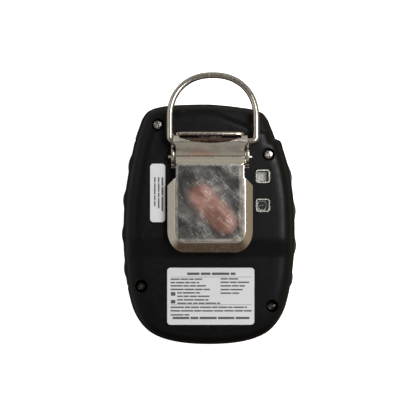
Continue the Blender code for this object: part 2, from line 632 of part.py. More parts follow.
def lever_profile():
    """The lever's outer face along its middle, jaw first, as (y, z), up to where the tab meets its curls."""
    points = [(LEVER_JAW_Y, LEVER_JAW_Z), (-8.6, 31.4), (-7.1, 32.45), (LEVER_FLAT_LOW_Y, 33.2)]
    points += [(-4.9, LEVER_TOP_Z), (4.0, LEVER_TOP_Z), (LEVER_SHOULDER_Y[0], LEVER_TOP_Z)]
    points += [(LEVER_SHOULDER_Y[1], LEVER_TOP_Z), (LEVER_FLAT_HIGH_Y, LEVER_TOP_Z)]
    points += [(21.3, 33.35), (22.6, 32.75), (CREASE_Y, CREASE_Z)]
    return points


def tab_end_rows(tab_across):
    """Five rows over the tab's end, up to its scalloped edge, then the rows of the curls round the bar."""
    bend = Vector((BAR_Y + CURL_R * math.cos(CURL_START_TURN), BAR_Z + CURL_R * math.sin(CURL_START_TURN)))
    crease = Vector((CREASE_Y, CREASE_Z))
    straight = (bend - crease).length
    along = (bend - crease) / straight

    def place(x, length):
        if length <= straight:
            return (x, *(crease + along * length))
        turn = CURL_START_TURN - (length - straight) / CURL_R
        return (x, BAR_Y + CURL_R * math.cos(turn), BAR_Z + CURL_R * math.sin(turn))

    def edge_length(x):
        y = SCALLOP_MIDDLE_Y + SCALLOP_DEPTH * min(1.0, abs(x) / CURL_INNER_X) ** 2
        if y <= bend.x:
            return (y - CREASE_Y) / along.x
        return straight + CURL_R * (CURL_START_TURN - math.acos((y - BAR_Y) / CURL_R))

    outermost = max(tab_across)
    wide = [math.copysign(CURL_OUTER_X, x) if abs(x) == outermost else x for x in tab_across]
    full = edge_length(outermost)
    rows = []
    for step in range(5):
        share = (straight + (full - straight) * step / 4) / full
        across = wide if step else tab_across
        rows.append([place(x, edge_length(x) * share) for x in across])
    whole = straight + CURL_R * (CURL_START_TURN - CURL_END_TURN)
    for step in range(1, 11):
        length = full + (whole - full) * step / 10
        rows.append([place(x, length) for x in wide])
    return rows


def make_clip_lever():
    steel = material("clip_nickel", (0.62, 0.58, 0.52), 0.25, 1.0)
    rows = []
    skirt_corner = {LEVER_JAW_Y: 9.3, -8.6: 12.2, -7.1: 13.5, LEVER_FLAT_LOW_Y: 14.3}
    flat_corner = {LEVER_JAW_Y: 8.1, -8.6: 10.0, -7.1: 11.2, LEVER_FLAT_LOW_Y: 11.8}
    inner = (CURL_INNER_X, 8.0, 4.0)
    for y, z in lever_profile():
        if y <= LEVER_SHOULDER_Y[0]:
            skirt, edge = skirt_corner.get(y, LEVER_SKIRT_HALF), flat_corner.get(y, LEVER_FLAT_HALF)
            drop = (skirt - edge) / (LEVER_SKIRT_HALF - LEVER_FLAT_HALF) * (LEVER_TOP_Z - LEVER_JAW_Z)
            skirt_z = max(LEVER_JAW_Z, z - drop)
        elif y <= LEVER_SHOULDER_Y[1]:
            skirt, edge, skirt_z = LEVER_SHOULDER_HALF, LEVER_FLAT_HALF, z - 1.1
        else:
            skirt, edge, skirt_z = LEVER_TAB_HALF, 11.5, z - 0.2
        scale = min(1.0, edge / LEVER_FLAT_HALF)
        across = [skirt, edge] + [x * scale for x in inner]
        heights = [skirt_z] + [z] * 4
        right = [(x, y, h) for x, h in zip(across, heights)]
        rows.append([(-x, y, h) for x, y, h in right] + [(0.0, y, z)] + right[::-1])
    columns = len(rows[0])
    last_full = len(rows) + 4
    rows += tab_end_rows([x for x, _, _ in rows[-1]])
    vertices = [point for row in rows for point in row]
    faces = []
    for r in range(len(rows) - 1):
        for c in range(columns - 1):
            if r >= last_full and 2 <= c < columns - 3:
                continue
            low = r * columns + c
            faces.append([low, low + 1, low + columns + 1, low + columns])
    used = sorted({i for face in faces for i in face})
    place = {old: new for new, old in enumerate(used)}
    shape = [vertices[i] for i in used], [[place[i] for i in face] for face in faces]
    lever = make_object("clip_lever", shape, steel, closed=False)
    if lever.data.polygons[len(faces) // 3].normal.z < 0:
        lever.data.flip_normals()
    thicken = lever.modifiers.new("Sheet", "SOLIDIFY")
    thicken.thickness = CLIP_SHEET * MM
    thicken.offset = -1
    thicken.use_even_offset = True
    ear = [(20.6, 32.6), (21.4, 28.9), (22.0, 28.4), (24.6, 28.4), (25.4, 29.4), (25.6, 32.2), (23.4, 31.6)]
    inner_x, outer_x = LEVER_TAB_HALF - 0.85, LEVER_TAB_HALF - 0.05
    boolean(lever, "UNION", prism_x(ear, inner_x, outer_x), prism_x(ear, -outer_x, -inner_x))
    pin_hole = turned((0, 0), [(PIN_HOLE_R, -13), (PIN_HOLE_R, 13)], 10)
    boolean(lever, "DIFFERENCE", along_x(pin_hole, PIN_Y, PIN_Z))


def make_ring():
    flat = []
    bar_half = RING_HALF - RING_CORNER_R
    for i in range(5):
        flat.append((-bar_half + 2 * bar_half * i / 4, 0.0))
    for i in range(1, 5):
        turn = math.radians(-90 + 90 * i / 4)
        x = bar_half + RING_CORNER_R * math.cos(turn)
        flat.append((x, RING_CORNER_R + RING_CORNER_R * math.sin(turn)))
    arch = RING_TOP - RING_LEG_END
    steps = 24
    for i in range(steps + 1):
        turn = math.pi * i / steps
        power = 2 / RING_ROUNDNESS
        x = RING_HALF * math.copysign(abs(math.cos(turn)) ** power, math.cos(turn))
        flat.append((x, RING_LEG_END + arch * abs(math.sin(turn)) ** power))
    for i in range(4):
        turn = math.radians(180 + 90 * i / 4)
        x = -bar_half + RING_CORNER_R * math.cos(turn)
        flat.append((x, RING_CORNER_R + RING_CORNER_R * math.sin(turn)))
    fall, reach = math.sin(RING_REST_TILT), math.cos(RING_REST_TILT)
    points = [Vector((x + RING_SHIFT_X, BAR_Y + v * reach, BAR_Z - v * fall)) for x, v in flat]
    steel = material("clip_nickel", (0.62, 0.58, 0.52), 0.25, 1.0)
    make_object("lanyard_ring", swept(points, WIRE_R, 8, closed=True), steel)


def main():
    clear_scene()
    make_front_cover()
    make_back_cover()
    make_seal()
    make_grip("grip_left", -1, GRIP_LEFT_RIB_Y)
    make_grip("grip_right", 1, GRIP_RIGHT_RIB_Y)
    make_case_screws()
    make_front_pieces()
    make_boards()
    make_sensor()
    make_battery()
    make_port()
    make_labels()
    make_clip_base()
    make_clip_fixings()
    make_clip_spring()
    make_clip_lever()
    make_ring()


main()
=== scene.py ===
"""The looks of a portable gas detector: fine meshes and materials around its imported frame.

Shapes are made in millimetres in the row frame, and settle() scales them to metres. +Z points out of the
detector's back, +Y towards its lanyard ring and +X to the right as the back is seen.
"""

import json
import math
import random

import bmesh
import bpy
from mathutils import Matrix, Vector

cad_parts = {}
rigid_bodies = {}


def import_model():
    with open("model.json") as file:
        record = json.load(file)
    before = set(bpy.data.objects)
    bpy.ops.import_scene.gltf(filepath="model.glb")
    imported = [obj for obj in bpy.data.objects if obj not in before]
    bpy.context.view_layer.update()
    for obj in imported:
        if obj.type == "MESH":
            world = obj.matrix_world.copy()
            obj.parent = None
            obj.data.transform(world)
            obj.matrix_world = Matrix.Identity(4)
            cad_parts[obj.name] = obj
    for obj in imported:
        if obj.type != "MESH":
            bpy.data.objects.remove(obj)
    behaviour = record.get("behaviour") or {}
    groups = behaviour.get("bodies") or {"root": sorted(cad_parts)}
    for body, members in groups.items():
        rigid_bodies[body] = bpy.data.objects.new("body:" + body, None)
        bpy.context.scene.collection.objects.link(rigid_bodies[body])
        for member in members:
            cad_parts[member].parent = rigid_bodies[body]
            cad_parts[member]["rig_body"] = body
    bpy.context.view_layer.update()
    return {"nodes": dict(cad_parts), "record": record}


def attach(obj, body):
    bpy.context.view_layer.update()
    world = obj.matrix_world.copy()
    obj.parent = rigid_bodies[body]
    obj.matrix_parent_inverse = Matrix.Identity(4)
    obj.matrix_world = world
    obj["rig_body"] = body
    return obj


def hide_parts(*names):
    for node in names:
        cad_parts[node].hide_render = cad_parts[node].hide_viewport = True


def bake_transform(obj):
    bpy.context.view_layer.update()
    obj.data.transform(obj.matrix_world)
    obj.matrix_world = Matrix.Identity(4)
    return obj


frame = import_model()

MM = 0.001

# Case
HALF_OUTLINE = [
    (0.0, 42.7), (10.0, 42.5), (16.6, 41.9), (21.1, 40.5), (23.4, 38.0), (24.7, 34.8), (26.4, 29.6),
    (28.3, 20.4), (29.8, 11.0), (30.4, 2.0), (30.4, -8.0), (29.7, -16.0), (29.0, -22.0), (26.7, -30.6),
    (22.7, -36.7), (17.4, -40.1), (9.8, -42.0), (0.0, -42.6),
]
OUTLINE_STEPS = 10
CASE_HALF_WIDTH = 30.4
CASE_HALF_LENGTH = 42.6
DEEPEST_OFFSET = 1.5  # a larger inset shrinks the outline towards its centre
BACK_Z, ROOF_Z, PARTING_Z, SEAM_GAP = 27.0, 25.0, 13.0, 0.3
EDGE_BAND = 6.4  # the crowned band round the back
WAVE_TOP_Y, WAVE_FOOT_Y, WAVE_DROP, TAIL_DROP = -4.8, -12.4, 1.5, 0.9
STEP_LINE = ((-7.5, 41.5), (23.3, 29.3))
STEP_DROP = 1.2
STEP_SET_BACK, STEP_SET_BACK_FROM_X = 2.5, 14.0
STEP_LOWERED, STEP_LOWERED_OVER = 0.7, 6.0
GRIP_SET_BACK, GRIP_SET_BACK_FROM_Y = 1.1, 20.0
GRIP_RECESS, GRIP_BOTTOM_Z, GRIP_TOP_Z = 1.5, 5.7, 20.1
GRIP_LOW_Y, GRIP_HIGH_Y = -22.6, 30.2
GRIP_RIB_PITCH, GRIP_RIB_HEIGHT, GRIP_RIB_FADE = 12.6, 0.55, 5.0
GRIP_RIBS = {"grip_left": (-1, 9.0), "grip_right": (1, 4.9)}  # side, and the middle of one rib
CASE_SCREWS = [((-18.3, 34.7), 1.4), ((20.7, 24.3), 1.4), ((-24.0, -22.0), 9.0), ((22.1, -29.0), 9.0)]
POST_R, WELL_R, HEAD_R, HEAD_H, SHANK_R, SHANK_HOLE_R = 2.7, 2.2, 1.75, 1.3, 1.0, 1.3
SCREW_TIP_Z = 8.0

# Front
WINDOW_AT, WINDOW_SIZE = (0.0, 13.5), (34.0, 20.0)
ALARM_AT, ALARM_SIZE = (0.0, 31.5), (24.0, 5.0)
KEY_AT, KEY_SIZE, KEY_FACE_Z = (0.0, -9.6), (14.0, 7.0), 0.4
BUZZER_AT = (-13.0, -8.8)
SENSOR_AT, SENSOR_CAP_R, SENSOR_PORT_R = (0.0, -26.0), 10.0, 7.5

# Infrared port and labels
PORT_X, PORT_YS, PORT_SIZE = 18.65, (16.6, 6.4), (5.35, 5.0)
PORT_BOARD_Z, EMITTER_SHIFT_X, EMITTER_SIZE = 22.1, 0.25, (3.3, 3.2)
RECEIVER_SHIFT_X, DOME_R, DOME_HEIGHT = 0.3, 1.3, 1.45
REAR_LABEL_AT, REAR_LABEL_SIZE = (0.35, -25.5), (30.6, 20.0)
SIDE_LABEL_AT, SIDE_LABEL_SIZE = (-18.3, 10.7), (5.3, 20.5)
LABEL_LIFT, LABEL_THICK, LABEL_CORNER = 0.3, 0.25, 1.2

# Belt clip and ring
SHEET = 0.8
BASE_Z = 27.3
LIP_Y = 31.35
EAR_INNER_X, EAR_OUTER_X, EAR_LOW_Y, NECK_HALF = 12.65, 13.6, 19.4, 3.9
PIN_Y, PIN_Z, PIN_R, PIN_HALF = 23.25, 29.7, 0.5, 14.7
PIN_HOLE_R = 0.8
CLIP_SCREW_YS = (14.0, 3.0)
LEVER_TOP_Z, LEVER_JAW_Z = 33.6, 30.6
LEVER_TAB_HALF, CREASE_Y, CREASE_Z = 12.05, 23.1, 32.05
BAR_Y, BAR_Z, WIRE_R = 28.65, 32.0, 1.1
CURL_R, CURL_INNER_X, CURL_OUTER_X = 2.12, 10.85, 12.95
CURL_START_TURN, CURL_END_TURN = math.radians(115), math.radians(-146)
SCALLOP_MIDDLE_Y, SCALLOP_DEPTH = 27.9, 1.9
SHOULDER_LOW_Y, SHOULDER_HIGH_Y = 13.2, 15.7
RING_HALF, RING_CORNER_R, RING_LEG_END, RING_TOP, RING_ROUNDNESS = 15.1, 1.6, 8.2, 23.45, 2.2
RING_SHIFT_X = 1.0
RING_TILT = math.radians(7.0)
COIL_R, COIL_WIRE_R, COIL_TURNS, COIL_PITCH = 1.05, 0.25, 6, 0.8


# ---- meshes ----

def loft(rings, ends="caps"):
    """Faces through rings of equally many points.

    Ends are caps, a ladder between mirrored halves, or closed onto each other.
    """
    count = len(rings[0])
    vertices = [point for ring in rings for point in ring]
    faces = []
    for level in range(len(rings) if ends == "closed" else len(rings) - 1):
        low, high = level * count, (level + 1) % len(rings) * count
        for i in range(count):
            j = (i + 1) % count
            faces.append([low + i, low + j, high + j, high + i])
    if ends != "closed":
        for start in (0, (len(rings) - 1) * count):
            if ends == "caps":
                faces.append([start + i for i in range(count)])
                continue
            faces.append([start, start + 1, start + count - 1])
            for i in range(1, count // 2 - 1):
                faces.append([start + i, start + i + 1, start + count - i - 1, start + count - i])
            half = start + count // 2
            faces.append([half - 1, half, half + 1])
    return vertices, faces


def joined(shapes):
    """Several separate shapes as one list of vertices and faces."""
    vertices, faces = [], []
    for more_vertices, more_faces in shapes:
        start = len(vertices)
        vertices = vertices + list(more_vertices)
        faces = faces + [[start + i for i in face] for face in more_faces]
    return vertices, faces


def build(name, shape, outwards=True):
    """An object from a shape, its faces turned outwards."""
    mesh = bpy.data.meshes.new(name)
    mesh.from_pydata([Vector(v) for v in shape[0]], [], shape[1])
    if outwards:
        shell = bmesh.new()
        shell.from_mesh(mesh)
        bmesh.ops.recalc_face_normals(shell, faces=shell.faces)
        if shell.calc_volume(signed=True) < 0:
            bmesh.ops.reverse_faces(shell, faces=shell.faces)
        shell.to_mesh(mesh)
        shell.free()
    made = bpy.data.objects.new(name, mesh)
    bpy.context.scene.collection.objects.link(made)
    return made


def apply_modifiers(obj):
    graph = bpy.context.evaluated_depsgraph_get()
    mesh = bpy.data.meshes.new_from_object(obj.evaluated_get(graph))
    obj.modifiers.clear()
    obj.data = mesh


def carve(target, operation, *shapes):
    """Adds to or cuts from the target with separate shapes."""
    tool = build("tool", joined(shapes))
    step = target.modifiers.new(operation.title(), "BOOLEAN")
    step.operation = operation
    step.solver = "EXACT"
    step.object = tool
    apply_modifiers(target)
    bpy.data.objects.remove(tool, do_unlink=True)


def soften(target, width, segments=2, angle=40):
    """Rounds the target's edges that are sharper than the angle."""
    step = target.modifiers.new("Soft edges", "BEVEL")
    step.width = width
    step.segments = segments
    step.limit_method = "ANGLE"
    step.angle_limit = math.radians(angle)
    apply_modifiers(target)


def settle(obj, finish, body="case", replaces=(), sharp=35):
    """Scales a finished shape to metres, gives it the named finish and rides it on its body."""
    mesh = obj.data
    mesh.transform(Matrix.Scale(MM, 4))
    mesh.shade_smooth()
    mesh.set_sharp_from_angle(angle=math.radians(sharp))
    if not mesh.materials:
        mesh.materials.append(FINISHES[finish])
    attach(obj, body)
    if replaces:
        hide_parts(*replaces)
    return obj


def circle(at, z, radius, sides=48):
    turns = [2 * math.pi * (i + 0.5) / sides for i in range(sides)]
    return [(at[0] + radius * math.cos(t), at[1] + radius * math.sin(t), z) for t in turns]


def turned(at, profile, sides=48):
    """A solid turned about a line along Z, from (radius, z) pairs."""
    return loft([circle(at, z, radius, sides) for radius, z in profile])


def along_x(shape, y, z):
    """Turns a shape made about Z so that it runs along X at the given place."""
    turn = Matrix.Translation((0, y, z)) @ Matrix.Rotation(math.radians(90), 4, "Y")
    return [tuple(turn @ Vector(v)) for v in shape[0]], shape[1]


def rounded_rectangle(at, size, corner, z, per_corner=8):
    half_x, half_y = size[0] / 2 - corner, size[1] / 2 - corner
    points = []
    for quarter, (sign_x, sign_y) in enumerate([(1, 1), (-1, 1), (-1, -1), (1, -1)]):
        for step in range(per_corner + 1):
            turn = math.radians(90) * (quarter + step / per_corner)
            x = at[0] + sign_x * half_x + corner * math.cos(turn)
            points.append((x, at[1] + sign_y * half_y + corner * math.sin(turn), z))
    return points


def slab(at, size, corner, *steps, per_corner=8):
    """A rounded block in steps of (z, how much larger than its size on every side)."""
    rings = []
    for z, grown in steps:
        grown_size = (size[0] + 2 * grown, size[1] + 2 * grown)
        rings.append(rounded_rectangle(at, grown_size, max(0.05, corner + min(0.0, grown)), z, per_corner))
    return loft(rings)


def prism(outline, low, high):
    return loft([[(x, y, low) for x, y in outline], [(x, y, high) for x, y in outline]])


def prism_x(outline, low, high):
    """A prism along X from an outline in Y and Z."""
    return loft([[(low, y, z) for y, z in outline], [(high, y, z) for y, z in outline]])


def rounded_path(corners, spacing):
    """A polyline of (u, v, radius) with its corners rounded and its straights divided, as (u, v) points."""
    path = [Vector(corners[0][:2])]
    for before, here, after in zip(corners, corners[1:], corners[2:]):
        corner = Vector(here[:2])
        back, on = (Vector(before[:2]) - corner).normalized(), (Vector(after[:2]) - corner).normalized()
        half = back.angle(on) / 2
        reach = here[2] / math.tan(half)
        centre = corner + (back + on).normalized() * (here[2] / math.sin(half))
        start, end = corner + back * reach - centre, corner + on * reach - centre
        sweep = start.angle_signed(end)
        steps = max(3, math.ceil(abs(sweep) / math.radians(12)))
        path.append(centre + start)
        for i in range(1, steps + 1):
            turn = -sweep * i / steps
            path.append(centre + Matrix.Rotation(turn, 2) @ start)
    path.append(Vector(corners[-1][:2]))
    fine = [path[0]]
    for here, there in zip(path, path[1:]):
        pieces = max(1, round((there - here).length / spacing))
        fine += [here.lerp(there, i / pieces) for i in range(1, pieces + 1)]
    return fine


def swept(points, radius, sides, closed=False):
    """A round wire along the points."""
    count = len(points)
    rings = []
    normal = None
    for i, point in enumerate(points):
        before = points[i - 1] if closed or i else point
        after = points[(i + 1) % count] if closed or i < count - 1 else point
        along = (after - before).normalized()
        if normal is None:
            normal = along.orthogonal().normalized()
        normal = (normal - along * normal.dot(along)).normalized()
        across = along.cross(normal)
        turns = [2 * math.pi * k / sides for k in range(sides)]
        rings.append([tuple(point + (normal * math.cos(t) + across * math.sin(t)) * radius) for t in turns])
    return loft(rings, "closed" if closed else "caps")


# ---- materials ----

class Nodes:
    """A shader tree and its sums."""

    def __init__(self, tree, shader):
        self.tree = tree
        self.shader = tree.nodes[shader]

    def feed(self, socket, value):
        if isinstance(value, bpy.types.NodeSocket):
            self.tree.links.new(value, socket)
        else:
            socket.default_value = value

    def set(self, **inputs):
        for key, value in inputs.items():
            self.feed(self.shader.inputs[key.replace("_", " ")], value)

    def node(self, kind, inputs, **settings):
        made = self.tree.nodes.new("ShaderNode" + kind)
        for key, value in settings.items():
            setattr(made, key, value)
        for key, value in inputs.items():
            self.feed(made.inputs[key], value)
        return made

    def ramp(self, value, low, high, to_low=0.0, to_high=1.0):
        """Maps low..high softly to to_low..to_high."""
        made = self.node("MapRange", {"Value": value, "From Min": low, "From Max": high, "To Min": to_low,
                                      "To Max": to_high}, interpolation_type="SMOOTHSTEP")
        return made.outputs["Result"]

    def math(self, operation, first, second=0.0):
        return self.node("Math", {0: first, 1: second}, operation=operation).outputs[0]

    def mix(self, share, first, second):
        made = self.node("Mix", {"Factor": share}, data_type="RGBA")
        for socket, value in ((made.inputs[6], first), (made.inputs[7], second)):
            self.feed(socket, value if isinstance(value, bpy.types.NodeSocket) else (*value, 1.0))
        return made.outputs[2]


class Finish(Nodes):
    """A Principled material whose patterns are set by their size in millimetres."""

    def __init__(self, name, colour, roughness, metallic=0.0, **more):
        self.material = bpy.data.materials.new(name)
        self.material.use_nodes = True
        super().__init__(self.material.node_tree, "Principled BSDF")
        self.place = self.tree.nodes.new("ShaderNodeTexCoord").outputs["Object"]
        self.set(Base_Color=(*colour, 1.0), Roughness=roughness, Metallic=metallic, **more)

    def noise(self, grain, detail=2.0, stretch=(1, 1, 1), turn=0.0, shift=0.0):
        """Noise with features of about that many millimetres, drawn out along its turned axes."""
        size = [grain * MM * s for s in stretch]
        mapped = self.node("Mapping", {"Vector": self.place, "Location": (shift * MM, 0, 0),
                                       "Rotation": (0, 0, math.radians(turn)), "Scale": size},
                           vector_type="TEXTURE")
        made = self.node("TexNoise", {"Vector": mapped.outputs[0], "Scale": 1.0, "Detail": detail})
        return made.outputs["Fac"]

    def axis(self, name):
        """One coordinate, in millimetres."""
        split = self.node("SeparateXYZ", {"Vector": self.place})
        return self.math("DIVIDE", split.outputs[name], MM)

    def bump(self, height, depth, onto=None):
        """Relief of that many millimetres, on top of another bump."""
        inputs = {"Height": height, "Distance": depth * MM}
        if onto:
            inputs["Normal"] = onto
        return self.node("Bump", inputs).outputs[0]

    def edges(self, low=0.52, high=0.6):
        """Where the surface turns sharply outwards, as edges that handling wears."""
        return self.ramp(self.node("NewGeometry", {}).outputs["Pointiness"], low, high)


def moulded(name, colour, worn, roughness, grain=0.35, depth=0.012):
    """Satin moulded plastic: spark-eroded grain, faint flow marks and slightly polished edges."""
    made = Finish(name, colour, roughness)
    flow = made.noise(9.0, 3.0)
    made.set(Base_Color=made.mix(made.edges(), made.mix(flow, colour, [c * 1.25 for c in colour]), worn))
    made.set(Roughness=made.ramp(made.noise(1.6, 4.0), 0.3, 0.7, roughness - 0.05, roughness + 0.05))
    made.set(Normal=made.bump(made.noise(grain, 2.0), depth), Specular_IOR_Level=0.15)
    return made.material


def rubber(name, colour, roughness):
    """Soft rubber: fine stipple, dusty where it stands out."""
    made = Finish(name, colour, roughness)
    dust = made.ramp(made.noise(2.2, 5.0), 0.45, 0.75)
    made.set(Base_Color=made.mix(dust, colour, [c * 1.5 + 0.004 for c in colour]))
    made.set(Roughness=made.ramp(made.noise(0.8), 0.3, 0.7, roughness - 0.06, roughness + 0.06))
    made.set(Normal=made.bump(made.noise(0.22, 2.0), 0.014))
    return made.material


def scratches(made, grain, turns, low, high):
    """Thin straight scratches in several directions, 0 to 1: long lines, broken into short lengths."""
    found = None
    for i, turn in enumerate(turns):
        line = made.ramp(made.noise(grain, 0.0, (160, 1, 1), turn, shift=37.0 * i), low, high)
        part = made.ramp(made.noise(0.6, 0.0, (5, 1, 1), turn, shift=11.0 * i), 0.52, 0.6)
        streak = made.math("MULTIPLY", line, part)
        found = streak if found is None else made.math("MAXIMUM", found, streak)
    return found


def plated(name, colour, roughness=0.2, mottled=0.08, shaded_bar=False):
    """Nickel plate on rolled steel: a warm sheen, faint blotches, handling scratches, and on request painted
    shade on the ring's bar where it lies under the lever's tab.
    """
    made = Finish(name, colour, roughness, 1.0)
    dark = [c * (1 - mottled) for c in colour]
    light = [min(1.0, c * (1 + mottled * 0.5)) for c in colour]
    cloud = made.ramp(made.noise(3.2, 4.0), 0.35, 0.65)
    tone = made.mix(cloud, dark, light)
    # Painted shade: the ring's bar, where it lies under the lever's tab, is darkened to a deep brown.
    if shaded_bar:
        across = made.math("ABSOLUTE", made.math("SUBTRACT", made.axis("X"), RING_SHIFT_X))
        bar = made.math("MULTIPLY", made.ramp(made.axis("Y"), BAR_Y + 1.0, BAR_Y + 1.5, 1.0, 0.0),
                        made.ramp(across, 10.4, 11.6, 1.0, 0.0))
        tone = made.mix(bar, tone, (0.13, 0.085, 0.06))
    made.set(Base_Color=tone)
    scratch = scratches(made, 0.14, (35, -48, 78), 0.64, 0.72)
    blotch = made.ramp(made.noise(2.6, 2.0), 0.3, 0.7, roughness - 0.03, roughness + 0.04)
    made.set(Roughness=made.math("ADD", blotch, made.math("MULTIPLY", scratch, 0.15)))
    made.set(Normal=made.bump(scratch, 0.0008, made.bump(made.noise(4.0, 1.0), 0.012)))
    return made.material


def lever_plate():
    """The lever: plain plated sheet with a much handled, smeared and finely scratched flat face; a painted
    reflection lightens the flat's right margin, and painted shade darkens the thumb tab and a thin line along
    the crease.
    """
    colour = (0.63, 0.59, 0.52)
    made = Finish("lever_plate", colour, 0.2, 1.0)
    across, along = made.math("ABSOLUTE", made.axis("X")), made.axis("Y")
    inside = made.math("MULTIPLY", made.ramp(across, 10.9, 11.6, 1.0, 0.0), made.ramp(along, -5.9, -5.0))
    inside = made.math("MULTIPLY", inside, made.ramp(along, 19.6, 20.6, 1.0, 0.0))
    cloud = made.ramp(made.noise(6.5, 3.0, (1.7, 0.8, 1), -50), 0.36, 0.64)
    haze_and_sheen = made.mix(cloud, (0.3, 0.29, 0.28), (0.58, 0.56, 0.53))
    # Painted reflection: a light beige strip along the right margin of the flat, mixed into the smeared tone
    # of the flat.
    right_sheen = made.ramp(made.math("ADD", made.axis("X"), made.noise(4.0)), 10.3, 10.9)
    haze_and_sheen = made.mix(right_sheen, haze_and_sheen, (0.95, 0.9, 0.78))
    patch = made.ramp(made.noise(5.0, 2.0, (1.6, 0.8, 1), -50, 11.0), 0.4, 0.62, 0.18, 0.52)
    scratch = scratches(made, 0.16, (-50, -57, -43, 38), 0.6, 0.73)
    hairline = scratches(made, 0.1, (-53, -47, 66), 0.58, 0.7)
    worn = made.math("MULTIPLY", made.math("MAXIMUM", scratch, made.math("MULTIPLY", hairline, 0.6)), inside)
    worn = made.math("MULTIPLY", worn, patch)
    # Painted shade: a darker, blotchy olive band across the thumb tab above the crease.
    tab_shade = made.math("MULTIPLY", made.ramp(along, 24.0, 25.2), made.ramp(along, 26.6, 28.6, 1.0, 0.0))
    tab_shade = made.math("MULTIPLY", tab_shade, made.ramp(made.noise(3.5, 4.0, (2.0, 1, 1)), 0.3, 0.7, 0.1, 0.7))
    # Painted shade: a thin dark line along the crease, in the same olive as the tab's band.
    crease = made.math("MULTIPLY", made.ramp(along, 23.1, 23.35), made.ramp(along, 23.5, 23.9, 1.0, 0.0))
    plate = made.mix(made.math("MAXIMUM", tab_shade, crease), colour, (0.3, 0.285, 0.24))
    made.set(Base_Color=made.mix(inside, plate, made.mix(worn, haze_and_sheen, (0.9, 0.88, 0.85))))
    blotch = made.ramp(made.noise(3.0, 3.0), 0.3, 0.7, 0.13, 0.2)
    rough = made.math("ADD", made.math("MULTIPLY", worn, 0.2), made.math("MULTIPLY", cloud, 0.04))
    rough = made.math("MULTIPLY", rough, inside)
    rough = made.math("ADD", rough, made.math("MULTIPLY", made.math("SUBTRACT", 1.0, inside), 0.1))
    made.set(Roughness=made.math("ADD", blotch, rough))
    made.set(Normal=made.bump(worn, 0.002, made.bump(made.noise(5.0, 2.0), 0.012)))
    return made.material


def paper(name, colour):
    """Coated label stock with a faint tooth."""
    made = Finish(name, colour, 0.42)
    made.set(Base_Color=made.mix(made.noise(2.5, 4.0), [c * 0.93 for c in colour], colour))
    made.set(Normal=made.bump(made.noise(0.12), 0.003))
    return made.material


def plain(name, colour, roughness, metallic=0.0, grain=0.5, varied=0.15, depth=0.005, **more):
    """A small part's finish: one colour, a little uneven, with a fine relief."""
    made = Finish(name, colour, roughness, metallic, **more)
    dark = [c * (1 - varied) for c in colour]
    made.set(Base_Color=made.mix(made.noise(grain * 4, 3.0), dark, colour))
    made.set(Roughness=made.ramp(made.noise(grain * 2, 2.0), 0.3, 0.7, roughness * 0.85, roughness * 1.15))
    made.set(Normal=made.bump(made.noise(grain), depth))
    return made.material


FINISHES = {
    "case_plastic": moulded("case_black", (0.0032, 0.0031, 0.0034), (0.01, 0.01, 0.01), 0.36),
    "grip_rubber": rubber("grip_rubber", (0.006, 0.006, 0.0065), 0.6),
    "seal_rubber": rubber("seal_rubber", (0.02, 0.02, 0.02), 0.75),
    "key_rubber": rubber("key_rubber", (0.22, 0.23, 0.24), 0.5),
    "clip_nickel": plated("clip_plate", (0.6, 0.55, 0.475)),
    # The ring's finish has painted shade on its bar.
    "ring_nickel": plated("ring_plate", (0.44, 0.41, 0.365), 0.17, 0.12, shaded_bar=True),
    "lever_nickel": lever_plate(),
    "fastener_steel": plain("fastener_steel", (0.68, 0.65, 0.6), 0.26, 1.0, 0.3, 0.3, 0.01),
    "contact_nickel": plain("contact_nickel", (0.7, 0.68, 0.62), 0.28, 1.0),
    "brass": plain("brass", (0.72, 0.52, 0.24), 0.32, 1.0),
    "label": paper("label_stock", (0.76, 0.76, 0.79)),
    "ink": plain("label_ink", (0.1, 0.1, 0.105), 0.5),
    "display_glass": plain("display_glass", (0.3, 0.33, 0.31), 0.06, 0.0, 6.0, 0.1, 0.0,
                           Transmission_Weight=0.85),
    "display_frame": plain("display_frame", (0.012, 0.012, 0.013), 0.15),
    "port_glass": plain("port_glass", (0.3, 0.33, 0.31), 0.08, 0.0, 2.0, 0.1, 0.0, Alpha=0.06),
    "lcd": plain("lcd", (0.3, 0.335, 0.27), 0.3, 0.0, 3.0),
    "alarm_lens": plain("alarm_lens", (0.6, 0.02, 0.015), 0.14, 0.0, 1.5, 0.1, 0.0,
                        Transmission_Weight=0.35),
    "led": plain("led_epoxy", (0.83, 0.82, 0.78), 0.25),
    "component": plain("component_black", (0.014, 0.014, 0.016), 0.3),
    "board": plain("board_green", (0.02, 0.2, 0.11), 0.35, 0.0, 0.8, 0.3, 0.01),
    "cap_plastic": moulded("cap_grey", (0.09, 0.09, 0.095), (0.2, 0.2, 0.2), 0.45),
    "filter": plain("filter_membrane", (0.8, 0.8, 0.78), 0.9, 0.0, 0.12, 0.1, 0.02),
    "sensor_plastic": moulded("sensor_white", (0.66, 0.67, 0.68), (0.75, 0.75, 0.75), 0.5),
    "cell_sleeve": plain("cell_sleeve", (0.09, 0.22, 0.42), 0.3, 0.0, 2.5),
}


# ---- the case ----

def between(before, here, there, after, t):
    """A place on the smooth curve from here to there, a share t of the way."""
    return 0.5 * (2 * here + (there - before) * t
                  + (2 * before - 5 * here + 4 * there - after) * t * t
                  + (3 * here - before - 3 * there + after) * t ** 3)


